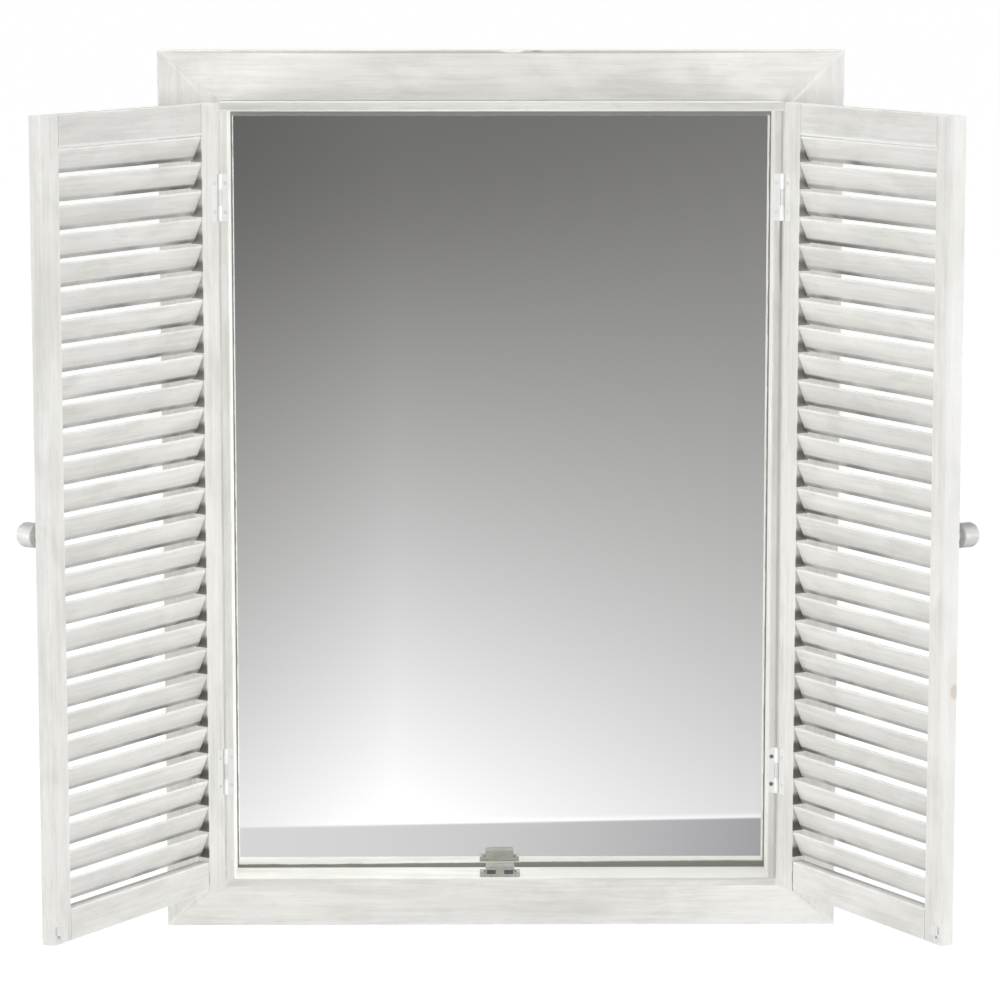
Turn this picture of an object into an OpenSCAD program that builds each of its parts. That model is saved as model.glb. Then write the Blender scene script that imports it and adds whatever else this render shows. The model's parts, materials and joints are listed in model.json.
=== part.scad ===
// Wall mirror in a wooden window frame with two louvred shutters.
// Millimetres. X to the right, Y into the wall, Z up. The origin lies on the wall plane, midway
// between the two keyholes in the top board's back, so everything stands forward of Y = 0.
// The pieces are drawn round the middle of the frame and then hung from that origin.

/* [Outer frame] */
// Width over the outer frame
frame_w = 600; // [580:1:640]
// Height over the outer frame
frame_h = 784; // [770:1:820]
// Width that shows of the two upright boards
side_board_w = 55.5; // [50:0.5:80]
// Width that shows of the top and bottom boards
end_board_w = 44; // [42:0.5:70]
// Thickness of the four flat boards
board_t = 16; // [14:0.5:20]
// Rounding of the boards' front arrises
board_round = 1.5; // [0.5:0.1:3]
// Overlap of the glass behind the boards
rebate_w = 10; // [8:0.5:12]

/* [Box frame] */
// Thickness of the boards of the box that stands forward round the glass
box_t = 7.5; // [6:0.5:10]
// Distance from the boards' front to the box's front edge
box_proud = 33; // [28:1:45]
// Rounding of the box's front arrises
box_round = 0.8; // [0.3:0.1:1.5]

/* [Glass and back] */
// Thickness of the mirror glass
glass_t = 3; // [3:0.5:4]
// Thickness of the backing panel
panel_t = 3; // [2.5:0.5:4]
// Depth of the panel's back below the boards' back
panel_set = 2; // [1.5:0.5:3]
// Gap round the glass and the panel in the rebate
glass_gap = 0.9; // [0.5:0.1:1.5]

/* [Shutters] */
// Thickness of the shutters' stiles and rails
shutter_t = 12.5; // [11.5:0.5:16]
// Width of the stiles
stile_w = 24; // [22:0.5:30]
// Height of the top and bottom rails
rail_h = 27; // [24:0.5:34]
// Gap between the two shutters when closed
meet_gap = 1.5; // [1.2:0.1:3]
// Gap between the closed shutters and the box's front edge
close_gap = 0.8; // [0.6:0.1:1.5]
// Rounding of the stiles' and rails' arrises
shutter_round = 1; // [0.5:0.1:1.5]
// Angle at which the left shutter stands open
left_open = 123; // [0:1:180]
// Angle at which the right shutter stands open
right_open = 120; // [0:1:180]
// Diameter of the dowels in the corner joints
dowel_d = 5; // [4:0.5:6]
// Length of the dowels
dowel_l = 30; // [24:1:32]
// Distance between the two dowels of a joint
dowel_spacing = 13; // [10:1:14]

/* [Louvres] */
// Wanted distance from louvre to louvre
louvre_pitch = 23.7; // [22.5:0.1:30]
// Thickness of a louvre
louvre_t = 3; // [2.5:0.5:4]
// Reach of a louvre through the shutter, between its edge centres
louvre_run = 8; // [6:0.5:8]
// Drop of a louvre from its inner to its outer edge centre
louvre_drop = 18.4; // [12:0.1:19]
// Depth of the pockets that hold the louvres in the stiles
louvre_seat = 4; // [2:0.5:5]
// Gap above the first louvre
louvre_top_gap = 0.5; // [0.3:0.1:6]
// Gap below the last louvre
louvre_bottom_gap = 5.2; // [2:0.1:12]

/* [Hinges] */
// Length of a hinge
hinge_l = 41; // [32:1:50]
// Thickness of the leaves
leaf_t = 1; // [0.8:0.1:1.2]
// Radius of the knuckles
knuckle_r = 2; // [1.9:0.1:2.6]
// Diameter of the pins
hinge_pin_d = 1.8; // [1.4:0.1:2]
// Distance of the pins outside the box's side
pin_out = 0.5; // [0.5:0.1:1]
// Width of the leaf on the shutter, from the hinge axis
shutter_leaf_w = 10.3; // [9.5:0.1:16]
// Distance from the shutter's top to the middle of the upper hinge
upper_hinge = 82; // [60:1:120]
// Distance from the shutter's bottom to the middle of the lower hinge
lower_hinge = 105; // [60:1:140]
// Distance between the two screws of a leaf
leaf_screw_spacing = 25; // [18:1:26]
// Shank diameter of the hinge screws
leaf_screw_d = 1.8; // [1.6:0.1:2.2]
// Length of the hinge screws
leaf_screw_l = 9; // [7:0.5:10]

/* [Knobs and catch] */
// Diameter of a knob's head
knob_d = 21; // [18:0.5:26]
// Projection of a knob from the shutter's face
knob_l = 24; // [20:0.5:30]
// Distance of a knob's middle from the shutter's free edge
knob_in = 14; // [11:0.5:15]
// Height of the knobs above the middle of the shutter
knob_z = -2; // [-200:1:200]
// Width of the catch over its two ears
catch_w = 35.5; // [34:0.5:42]
// Depth of the catch, front to back
catch_l = 17; // [14:0.5:20]
// Height of the catch
catch_h = 9.3; // [9:0.1:12]
// Place of the catch's middle to the right of the frame's middle
catch_x = -1.2; // [-2:0.1:2]
// Thickness of a strike plate
strike_t = 1; // [0.8:0.1:1.5]
// Height of a strike's raised pad above the shutter's back
strike_pad_h = 3; // [2.5:0.1:3.5]

/* [Hanging] */
// Distance between the two hanger plates
hanger_spacing = 400; // [200:10:440]
// Width of a hanger plate
hanger_w = 40; // [34:1:50]
// Height of a hanger plate
hanger_h = 20; // [20:0.5:22]
// Thickness of a hanger plate
hanger_t = 1.5; // [1:0.1:2]
// Diameter of the keyhole's round entry
keyhole_d = 9; // [8.5:0.1:9.5]
// Width of the keyhole's slot
keyslot_w = 4.5; // [4.2:0.1:5]
// Rise of the slot's end above the entry's middle
keyslot_rise = 8; // [7:0.5:8.5]
// Depth of the pocket behind a hanger plate
hanger_pocket = 6.5; // [5:0.5:8]

/* [Hidden] */
$fn = 48;

// Clearances
fit = 0.05;           // radial clearance of pins, dowels, brads and let-in metal
run_gap = 0.3;        // clearance between parts that pass each other
cut = 1;              // overshoot of cutting bodies

// Planes along Y, from the back to the front
board_front = -board_t;
panel_back = -panel_set;
glass_back = panel_back - panel_t;
glass_front = glass_back - glass_t;
box_front = board_front - box_proud;
shutter_back = box_front - close_gap;

// Sizes over the box
box_w = frame_w - 2 * side_board_w;
box_h = frame_h - 2 * end_board_w;

// Half sizes
frame_x = frame_w / 2;
frame_z = frame_h / 2;
box_x = box_w / 2;
box_z = box_h / 2;
jamb_x = box_x - box_t;
sill_z = box_z - box_t;
rebate_x = box_x + rebate_w;
rebate_z = box_z + rebate_w;

// Hinge axis, and the shutter as drawn from it: closed, it reaches along -X
axis_x = box_x + pin_out;
axis_y = box_front - close_gap / 2;
back_v = -close_gap / 2;
front_v = back_v - shutter_t;
edge_u = -pin_out;
shutter_w = (box_w - meet_gap) / 2;
free_u = edge_u - shutter_w;
hinge_stile_u = edge_u - stile_w;
free_stile_u = free_u + stile_w;
field_z = box_z - rail_h;
stand_v = (back_v + front_v) / 2;

// Louvres
slat_h = louvre_drop + louvre_t;
louvre_room = 2 * field_z - louvre_top_gap - louvre_bottom_gap - slat_h;
louvre_steps = round(louvre_room / louvre_pitch);
louvre_step = louvre_room / louvre_steps;
louvre_first_z = field_z - louvre_top_gap - slat_h / 2;
slat_len = hinge_stile_u - free_stile_u + 2 * louvre_seat - 2 * fit;

// Hinges
gain_r = knuckle_r + run_gap;
hinge_zs = [box_z - upper_hinge, lower_hinge - box_z];
barrels = 3;
barrel_gap = 0.25;
knuckle_l = (hinge_l - (barrels - 1) * barrel_gap) / barrels;
leaf_root_u = -gain_r;
frame_leaf_u = jamb_x - axis_x;
frame_screw_u = (leaf_root_u + frame_leaf_u) / 2;
shutter_screw_u = -(gain_r + shutter_leaf_w) / 2;
leaf_screw_zs = [-leaf_screw_spacing / 2, leaf_screw_spacing / 2];
leaf_head_r = leaf_screw_d / 2 + leaf_t;
driver_w = 0.5;
driver_depth = 0.45;
driver_share = 0.6;

// Knobs
knob_u = free_u + knob_in;
knob_base_r = 6.5;
knob_base_t = 1.5;
knob_neck_r = 5;
knob_head_t = 15.5;
knob_round = 3.5;
knob_back_round = 1.5;
stud_r = 1.75;
stud_l = 16;
stud_in_wood = 10;

// Catch and strikes
strike_face = shutter_back + strike_pad_h;
pole_front = strike_face + run_gap;
housing_inset = 0.5;
housing_front = pole_front + housing_inset;
ear_w = 5.2;
ear_t = 3;
magnet_w = 8;
magnet_l = 10;
magnet_h = 4;
pole_t = 1;
pole_tail = 0.5;
pole_l = housing_inset + magnet_l + pole_tail;
catch_side = 7.75;
catch_mid_z = catch_h / 2 - sill_z;
catch_screw_r = 1.1;
catch_screw_l = 9;
catch_head_r = 2.1;
catch_crown_r = 1.7;
catch_head_t = 1.4;
strike_w = 9;
strike_low = 3;
strike_high = 17;
strike_round = 1.5;
strike_pad_w = 7;
strike_u = free_u + catch_side - meet_gap / 2;
strike_screw_z = 6.4;
strike_head_r = 1.7;
strike_screw_r = 0.9;
strike_screw_l = 8;

// Brads, mitre plates and points
brad_r = 0.75;
brad_l = 22;
brad_set = 0.4;
lip_y = (board_front + glass_front) / 2;
corner_brad_in = 11.5;
corner_brad_ys = [glass_front - corner_brad_in, box_front + corner_brad_in];
side_brads = 5;
side_brad_step = 2 * sill_z / side_brads;
side_brad_zs = [for (i = [1 : side_brads]) (i - 0.5) * side_brad_step - sill_z];
end_brads = 4;
end_brad_step = 2 * jamb_x / end_brads;
end_brad_xs = [for (i = [1 : end_brads]) (i - 0.5) * end_brad_step - jamb_x];
mitre_plate_t = 1;
mitre_plate_l = 16;
mitre_plate_depth = 7;
mitre_plate_set = 0.4;
mitre_places = [0.42, 0.78];
point_t = 0.8;
point_w = 14;
point_l = 15;
point_bite = 7.5;
point_out = 0.7;
point_zs = [-point_out * rebate_z, 0, point_out * rebate_z];
point_in = 0.5;
point_xs = [-point_in * rebate_x, point_in * rebate_x];

// Hanger plates
hanger_drop = 1;
hanger_z = (rebate_z + frame_z) / 2 - hanger_drop;
hanger_xs = [-hanger_spacing / 2, hanger_spacing / 2];
keyhole_drop = 3;
keyhole_z = hanger_z - keyhole_drop;
hanger_pocket_w = 13;
hanger_pocket_low = 5.5;
hanger_pocket_high = 4.5;
hanger_screw_r = 1.5;
hanger_screw_l = 10;
hanger_head_r = hanger_screw_r + hanger_t;
hanger_screw_in = 5.5;
hanger_screw_x = hanger_w / 2 - hanger_screw_in;

// Colours
wood = "#e2e3dd";
slat_wood = "#e6e6e1";
box_wood = "#e9e9e4";
raw_wood = "#cbb58f";
steel = "#9c9c98";
dark_steel = "#5d5d5a";
white_metal = "#ecece8";
pewter = "#8f8f8b";
plastic = "#8d8f84";
mirror_grey = "#8f959a";
board_brown = "#9a7b55";

// ---- Shared shapes ----

// Rectangle from corner a to corner b with its corners rounded
module rounded_rect(a, b, r) {
    translate([a.x + r, a.y]) square([b.x - a.x - 2 * r, b.y - a.y]);
    translate([a.x, a.y + r]) square([b.x - a.x, b.y - a.y - 2 * r]);
    for (x = [a.x + r, b.x - r])
        for (y = [a.y + r, b.y - r])
            translate([x, y]) circle(r);
}

// Box from corner a to corner b
module block(a, b) {
    translate(a) cube(b - a);
}

// Turns a profile drawn in Y and Z into a bar along X, from x0 to x1
module along_x(x0, x1) {
    translate([x0, 0, 0]) rotate([90, 0, 90]) linear_extrude(x1 - x0) children();
}

// Turns an outline drawn in X and Z into a plate from y0 back to y1
module along_y(y0, y1) {
    translate([0, y1, 0]) rotate([90, 0, 0]) linear_extrude(y1 - y0) children();
}

// Cylinder along Y from y0 to y1, with the radius r0 at y0 and r1 at y1
module round_y(y0, y1, r0, r1) {
    translate([0, y0, 0]) rotate([-90, 0, 0]) cylinder(h = y1 - y0, r1 = r0, r2 = r1);
}

// Its children, and their mirror images across X = 0
module both_sides() {
    children();
    mirror([1, 0, 0]) children();
}

// Its children, and their mirror images across Z = 0
module both_ends() {
    children();
    mirror([0, 0, 1]) children();
}

// Countersunk screw along +Y: its head's face lies at y = 0
module countersunk_screw(r, length, head_r, head_t) {
    difference() {
        union() {
            round_y(0, head_t, head_r, r);
            round_y(head_t, length, r, r);
        }
        for (turn = [0, 90])
            rotate([0, turn, 0])
                block(
                    [-driver_share * head_r, -cut, -driver_w / 2],
                    [driver_share * head_r, driver_depth, driver_w / 2]
                );
    }
}

// ---- Places ----

// Hangs what is drawn round the middle of the frame from the origin at the keyholes
module hung() {
    translate([0, 0, -keyhole_z]) children();
}

// From the hinge axis to the right side of the box
module at_right_axis() {
    translate([axis_x, axis_y, 0]) children();
}

// The right shutter, drawn closed from its hinge axis, swung to where it stands open
module on_right() {
    hung() at_right_axis() rotate([0, 0, right_open]) children();
}

// The same for the left shutter, which is the right one's mirror image
module on_left() {
    hung() mirror([1, 0, 0]) at_right_axis() rotate([0, 0, left_open]) children();
}

// ---- Outer frame ----

// The flat steel plates that hold a mitre, at the upper right corner, from their depth to back
module mitre_plate_row(gap, back) {
    run = [frame_x - box_x, frame_z - box_z];
    slope = atan2(run.y, run.x);
    for (place = mitre_places)
        translate([box_x + place * run.x, 0, box_z + place * run.y])
            rotate([0, -slope, 0])
                block(
                    [-mitre_plate_t / 2 - gap, -mitre_plate_depth - gap, -mitre_plate_l / 2 - gap],
                    [mitre_plate_t / 2 + gap, back, mitre_plate_l / 2 + gap]
                );
}

module mitre_plate_cuts() {
    both_sides() both_ends() mitre_plate_row(fit, cut);
}

// One point that holds the panel, drawn pointing along +X from the rebate's wall
module point_blade(wall, gap) {
    block(
        [wall - point_l + point_bite, panel_back, -point_w / 2 - gap],
        [wall + point_bite + gap, panel_back + point_t + gap, point_w / 2 + gap]
    );
}

module all_points(gap) {
    both_sides()
        for (z = point_zs)
            translate([0, 0, z]) point_blade(rebate_x, gap);
    both_ends()
        for (x = point_xs)
            translate([x, 0, 0]) rotate([0, -90, 0]) point_blade(rebate_z, gap);
}

// One brad drawn along +X, its head at x = 0
module brad(gap) {
    rotate([0, 90, 0]) cylinder(h = brad_l + gap, r = brad_r + gap);
}

// The brads through the box into the outer frame, their heads set below the box's inside faces
module all_frame_brads(gap, set) {
    both_sides()
        for (z = side_brad_zs)
            translate([jamb_x + set, lip_y, z]) brad(gap);
    both_ends()
        for (x = end_brad_xs)
            translate([x, lip_y, sill_z + set]) rotate([0, -90, 0]) brad(gap);
}

module frame_brad_cuts() {
    all_frame_brads(fit, brad_set);
    all_frame_brads(fit, -cut);
}

module outer_rail() {
    color(wood) difference() {
        intersection() {
            along_x(-frame_x, frame_x)
                rounded_rect([board_front, box_z], [board_t, frame_z], board_round);
            along_y(board_front - cut, 0)
                polygon([[-frame_x, frame_z], [frame_x, frame_z], [box_x, box_z], [-box_x, box_z]]);
        }
        block([-frame_x, glass_front, box_z - cut], [frame_x, cut, rebate_z]);
        mitre_plate_cuts();
        all_points(fit);
        frame_brad_cuts();
    }
}

module outer_stile() {
    color(wood) difference() {
        intersection() {
            translate([0, 0, -frame_z]) linear_extrude(frame_h)
                rounded_rect([box_x, board_front], [frame_x, board_t], board_round);
            along_y(board_front - cut, 0)
                polygon([[frame_x, frame_z], [frame_x, -frame_z], [box_x, -box_z], [box_x, box_z]]);
        }
        block([box_x - cut, glass_front, -frame_z], [rebate_x, cut, frame_z]);
        mitre_plate_cuts();
        all_points(fit);
        frame_brad_cuts();
    }
}

module outer_top_rail() {
    difference() {
        outer_rail();
        for (x = hanger_xs) translate([x, 0, 0]) hanger_cuts();
    }
}

module outer_bottom_rail() {
    mirror([0, 0, 1]) outer_rail();
}

module outer_right_stile() {
    outer_stile();
}

module outer_left_stile() {
    mirror([1, 0, 0]) outer_stile();
}

module mitre_plates() {
    color(dark_steel) both_sides() both_ends() mitre_plate_row(0, -mitre_plate_set);
}

module frame_brads() {
    color(dark_steel) all_frame_brads(0, brad_set);
}

// ---- Hangers ----

module hanger_cuts() {
    block(
        [-hanger_w / 2 - fit, -hanger_t, hanger_z - hanger_h / 2 - fit],
        [hanger_w / 2 + fit, cut, hanger_z + hanger_h / 2 + fit]
    );
    block(
        [-hanger_pocket_w / 2, -hanger_t - hanger_pocket, keyhole_z - hanger_pocket_low],
        [hanger_pocket_w / 2, cut, keyhole_z + keyslot_rise + hanger_pocket_high]
    );
    for (x = [-hanger_screw_x, hanger_screw_x])
        translate([x, 0, hanger_z])
            round_y(-hanger_screw_l - fit, 0, hanger_screw_r + fit, hanger_screw_r + fit);
}

module hanger_plate() {
    difference() {
        block(
            [-hanger_w / 2, -hanger_t, hanger_z - hanger_h / 2],
            [hanger_w / 2, 0, hanger_z + hanger_h / 2]
        );
        translate([0, 0, keyhole_z]) {
            round_y(-hanger_t - cut, cut, keyhole_d / 2, keyhole_d / 2);
            translate([0, 0, keyslot_rise])
                round_y(-hanger_t - cut, cut, keyslot_w / 2, keyslot_w / 2);
            block([-keyslot_w / 2, -hanger_t - cut, 0], [keyslot_w / 2, cut, keyslot_rise]);
        }
        for (x = [-hanger_screw_x, hanger_screw_x])
            translate([x, 0, hanger_z]) mirror([0, 1, 0])
                round_y(0, hanger_t, hanger_head_r + fit, hanger_screw_r + fit);
    }
}

module hanger_plates() {
    color(steel) for (x = hanger_xs) translate([x, 0, 0]) hanger_plate();
}

module hanger_screws() {
    color(steel)
        for (x = hanger_xs)
            for (side = [-hanger_screw_x, hanger_screw_x])
                translate([x + side, 0, hanger_z]) mirror([0, 1, 0])
                    countersunk_screw(hanger_screw_r, hanger_screw_l, hanger_head_r, hanger_t);
}

// ---- Box frame round the glass ----

// The brads through the top and bottom boards into the jambs' ends
module all_corner_brads(gap, set) {
    both_sides() both_ends()
        for (y = corner_brad_ys)
            translate([(jamb_x + box_x) / 2, y, box_z - set]) rotate([0, 90, 0]) brad(gap);
}

module corner_brad_cuts() {
    all_corner_brads(fit, brad_set);
    all_corner_brads(fit, -cut);
}

// Top board of the box, full width over the jambs' ends
module box_rail() {
    color(box_wood) difference() {
        along_x(-box_x, box_x)
            rounded_rect([box_front, sill_z], [glass_front, box_z], box_round);
        corner_brad_cuts();
        frame_brad_cuts();
    }
}

module box_top_rail() {
    box_rail();
}

module box_bottom_rail() {
    difference() {
        mirror([0, 0, 1]) box_rail();
        catch_screw_places()
            round_y(0, catch_screw_l + fit, catch_screw_r + fit, catch_screw_r + fit);
    }
}

// Gains in a jamb for the hinges: the leaf's bed, the knuckle's hollow and the screw holes
module jamb_gains() {
    at_right_axis() for (z = hinge_zs) translate([0, 0, z]) {
        block(
            [frame_leaf_u - cut, -cut, -hinge_l / 2 - fit],
            [edge_u + cut, -back_v + leaf_t, hinge_l / 2 + fit]
        );
        translate([0, 0, -hinge_l / 2 - fit]) cylinder(h = hinge_l + 2 * fit, r = gain_r);
        for (s = leaf_screw_zs)
            translate([frame_screw_u, -back_v, s])
                round_y(0, leaf_screw_l + fit, leaf_screw_d / 2 + fit, leaf_screw_d / 2 + fit);
    }
}

module box_jamb() {
    color(box_wood) difference() {
        translate([0, 0, -sill_z]) linear_extrude(2 * sill_z)
            rounded_rect([jamb_x, box_front], [box_x, glass_front], box_round);
        jamb_gains();
        corner_brad_cuts();
        frame_brad_cuts();
    }
}

module box_right_jamb() {
    box_jamb();
}

module box_left_jamb() {
    mirror([1, 0, 0]) box_jamb();
}

module box_corner_brads() {
    color(dark_steel) all_corner_brads(0, brad_set);
}

// ---- Glass and back ----

module mirror_glass() {
    x = rebate_x - glass_gap;
    z = rebate_z - glass_gap;
    color(mirror_grey) block([-x, glass_front, -z], [x, glass_back, z]);
}

module backing_panel() {
    x = rebate_x - glass_gap;
    z = rebate_z - glass_gap;
    color(board_brown) block([-x, glass_back, -z], [x, panel_back, z]);
}

module backing_points() {
    color(steel) all_points(0);
}

// ---- Catch ----

// The two screw places in the catch's ears, with the screw's way down along +Y
module catch_screw_places() {
    reach = (catch_w - ear_w) / 2;
    for (x = [catch_x - reach, catch_x + reach])
        translate([x, housing_front + catch_l / 2, ear_t - sill_z]) rotate([-90, 0, 0]) children();
}

// Block of the magnet and its two pole plates, standing behind the pole plates' front
module magnet_cell(side, low, high, length, back_step, gap) {
    x = catch_x + side * catch_side;
    block(
        [x - magnet_w / 2 - gap, pole_front + back_step - gap, catch_mid_z + low - gap],
        [x + magnet_w / 2 + gap, pole_front + back_step + length + gap, catch_mid_z + high + gap]
    );
}

module catch_housing() {
    body_x = catch_w / 2 - ear_w;
    back = housing_front + catch_l;
    color(plastic) difference() {
        union() {
            block([catch_x - body_x, housing_front, -sill_z], [catch_x + body_x, back, catch_h - sill_z]);
            block(
                [catch_x - catch_w / 2, housing_front, -sill_z],
                [catch_x + catch_w / 2, back, ear_t - sill_z]
            );
        }
        for (side = [-1, 1])
            magnet_cell(side, -magnet_h / 2 - pole_t, magnet_h / 2 + pole_t, pole_l, 0, fit);
        catch_screw_places() round_y(-cut, ear_t + cut, catch_screw_r + fit, catch_screw_r + fit);
    }
}

module catch_magnets() {
    color(dark_steel)
        for (side = [-1, 1])
            magnet_cell(side, -magnet_h / 2, magnet_h / 2, magnet_l, housing_inset, 0);
}

module catch_poles() {
    color(steel)
        for (side = [-1, 1]) {
            magnet_cell(side, magnet_h / 2, magnet_h / 2 + pole_t, pole_l, 0, 0);
            magnet_cell(side, -magnet_h / 2 - pole_t, -magnet_h / 2, pole_l, 0, 0);
        }
}

module catch_screws() {
    color(steel) catch_screw_places() {
        difference() {
            round_y(-catch_head_t, 0, catch_crown_r, catch_head_r);
            block(
                [-catch_head_r, -catch_head_t - cut, -driver_w / 2],
                [catch_head_r, driver_depth - catch_head_t, driver_w / 2]
            );
        }
        round_y(0, catch_screw_l, catch_screw_r, catch_screw_r);
    }
}

// ---- Hinges ----

// Barrel lengths of one hinge: the outer two belong to the frame, the middle one to the shutter
module outer_knuckles() {
    for (z = [-hinge_l / 2, hinge_l / 2 - knuckle_l])
        translate([0, 0, z]) children();
}

module middle_knuckle() {
    translate([0, 0, -knuckle_l / 2]) children();
}

module knuckle() {
    cylinder(h = knuckle_l, r = knuckle_r);
}

module pin_bore() {
    translate([0, 0, -hinge_l]) cylinder(h = 2 * hinge_l, r = hinge_pin_d / 2 + fit);
}

// Leaf on the jamb's front edge, drawn from the hinge axis
module frame_leaf() {
    difference() {
        union() {
            block(
                [frame_leaf_u, -back_v, -hinge_l / 2],
                [leaf_root_u, -back_v + leaf_t, hinge_l / 2]
            );
            outer_knuckles() {
                knuckle();
                block([leaf_root_u - fit, -back_v, 0], [0, -back_v + leaf_t, knuckle_l]);
            }
        }
        pin_bore();
        for (s = leaf_screw_zs)
            translate([frame_screw_u, -back_v, s])
                round_y(0, leaf_t, leaf_head_r + fit, leaf_screw_d / 2 + fit);
    }
}

// Leaf on the shutter's back, drawn from the hinge axis with the shutter closed
module shutter_leaf() {
    difference() {
        union() {
            block(
                [-shutter_leaf_w, back_v - leaf_t, -hinge_l / 2],
                [leaf_root_u, back_v, hinge_l / 2]
            );
            middle_knuckle() {
                knuckle();
                block([leaf_root_u - fit, back_v - leaf_t, 0], [0, back_v, knuckle_l]);
            }
        }
        pin_bore();
        for (s = leaf_screw_zs)
            translate([shutter_screw_u, back_v, s]) mirror([0, 1, 0])
                round_y(0, leaf_t, leaf_head_r + fit, leaf_screw_d / 2 + fit);
    }
}

module right_frame_leaves() {
    color(white_metal) at_right_axis() for (z = hinge_zs) translate([0, 0, z]) frame_leaf();
}

module left_frame_leaves() {
    mirror([1, 0, 0]) right_frame_leaves();
}

module right_hinge_pins() {
    color(steel) at_right_axis()
        for (z = hinge_zs)
            translate([0, 0, z - hinge_l / 2]) cylinder(h = hinge_l, r = hinge_pin_d / 2);
}

module left_hinge_pins() {
    mirror([1, 0, 0]) right_hinge_pins();
}

module frame_leaf_screws() {
    color(dark_steel) both_sides() at_right_axis()
        for (z = hinge_zs)
            for (s = leaf_screw_zs)
                translate([frame_screw_u, -back_v, z + s])
                    countersunk_screw(leaf_screw_d / 2, leaf_screw_l, leaf_head_r, leaf_t);
}

// ---- Shutter, drawn closed from its hinge axis ----

// Outline of a louvre in the shutter's thickness and height, widened by gap
module slat_outline(gap) {
    chord = norm([louvre_run, louvre_drop]);
    r = louvre_t / 2 + gap;
    translate([stand_v, 0]) rotate(atan2(louvre_drop, louvre_run)) {
        translate([-chord / 2, -r]) square([chord, 2 * r]);
        for (x = [-chord / 2, chord / 2]) translate([x, 0]) circle(r);
    }
}

module slat_row(u0, u1, gap) {
    for (i = [0 : louvre_steps])
        translate([0, 0, louvre_first_z - i * louvre_step]) along_x(u0, u1) slat_outline(gap);
}

// One dowel along X across the joint of a stile and a rail
module dowel(u, z, gap) {
    translate([u - dowel_l / 2 - gap, stand_v, z]) rotate([0, 90, 0])
        cylinder(h = dowel_l + 2 * gap, r = dowel_d / 2 + gap);
}

module dowels(gap) {
    for (end = [-1, 1])
        for (side = [-dowel_spacing / 2, dowel_spacing / 2])
            for (u = [hinge_stile_u, free_stile_u])
                dowel(u, end * (box_z - rail_h / 2) + side, gap);
}

module stile_bar(u0, u1) {
    translate([0, 0, -box_z]) linear_extrude(box_h)
        rounded_rect([u0, front_v], [u1, back_v], shutter_round);
}

module hinge_stile() {
    color(wood) difference() {
        stile_bar(hinge_stile_u, edge_u);
        slat_row(hinge_stile_u - cut, hinge_stile_u + louvre_seat, fit);
        dowels(fit);
        for (z = hinge_zs) translate([0, 0, z]) {
            block(
                [-shutter_leaf_w - fit, back_v - leaf_t, -hinge_l / 2 - fit],
                [cut, cut, hinge_l / 2 + fit]
            );
            translate([0, 0, -hinge_l / 2 - fit]) cylinder(h = hinge_l + 2 * fit, r = gain_r);
            for (s = leaf_screw_zs)
                translate([shutter_screw_u, back_v, s]) mirror([0, 1, 0])
                    round_y(0, leaf_screw_l + fit, leaf_screw_d / 2 + fit, leaf_screw_d / 2 + fit);
        }
    }
}

module free_stile() {
    color(wood) difference() {
        stile_bar(free_u, free_stile_u);
        slat_row(free_stile_u - louvre_seat, free_stile_u + cut, fit);
        dowels(fit);
        translate([knob_u, 0, knob_z])
            round_y(front_v - cut, front_v + stud_in_wood + fit, stud_r + fit, stud_r + fit);
        translate([strike_u, back_v, -box_z]) {
            along_y(-strike_t, cut) strike_outline(fit);
            translate([0, 0, strike_screw_z]) mirror([0, 1, 0])
                round_y(0, strike_screw_l + fit, strike_screw_r + fit, strike_screw_r + fit);
        }
    }
}

module rail_bar(z0, z1) {
    color(wood) difference() {
        along_x(free_stile_u, hinge_stile_u)
            rounded_rect([front_v, z0], [back_v, z1], shutter_round);
        dowels(fit);
    }
}

module shutter_top_rail() {
    rail_bar(field_z, box_z);
}

module shutter_bottom_rail() {
    rail_bar(-box_z, -field_z);
}

module louvres() {
    start = free_stile_u - louvre_seat + fit;
    color(slat_wood) slat_row(start, start + slat_len, 0);
}

module rail_dowels() {
    color(raw_wood) dowels(0);
}

// Knob with a flat base, a neck and a drum-shaped head, turned about its own axis
module knob() {
    head_z = knob_l - knob_head_t;
    head_r = knob_d / 2;
    color(pewter) difference() {
        translate([knob_u, front_v, knob_z]) rotate([90, 0, 0]) rotate_extrude() {
            square([knob_base_r, knob_base_t]);
            square([knob_neck_r, head_z + knob_back_round]);
            translate([0, head_z]) square([head_r - knob_back_round, knob_head_t]);
            translate([0, head_z + knob_back_round])
                square([head_r, knob_head_t - knob_back_round - knob_round]);
            translate([head_r - knob_back_round, head_z + knob_back_round]) circle(knob_back_round);
            translate([head_r - knob_round, knob_l - knob_round]) intersection() {
                circle(knob_round);
                square([knob_round, knob_round]);
            }
        }
        translate([knob_u, 0, knob_z])
            round_y(front_v - stud_l + stud_in_wood - fit, front_v + cut, stud_r + fit, stud_r + fit);
    }
}

module knob_stud() {
    color(steel) translate([knob_u, 0, knob_z])
        round_y(front_v + stud_in_wood - stud_l, front_v + stud_in_wood, stud_r, stud_r);
}

// Outline of a strike plate above the shutter's lower edge, widened by gap
module strike_outline(gap) {
    x = strike_w / 2 + gap;
    rounded_rect([-x, strike_low - gap], [x, strike_high + gap], strike_round + gap);
}

// Strike let into the shutter's back at its lower free corner, with a raised pad for the magnets
module strike_plate() {
    pad_z = catch_mid_z + box_z;
    color(white_metal) translate([strike_u, back_v, -box_z]) difference() {
        union() {
            along_y(-strike_t, 0) strike_outline(0);
            block(
                [-strike_pad_w / 2, -strike_t, pad_z - strike_pad_w / 2],
                [strike_pad_w / 2, strike_pad_h, pad_z + strike_pad_w / 2]
            );
        }
        translate([0, 0, strike_screw_z]) mirror([0, 1, 0])
            round_y(0, strike_t, strike_head_r + fit, strike_screw_r + fit);
    }
}

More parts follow.
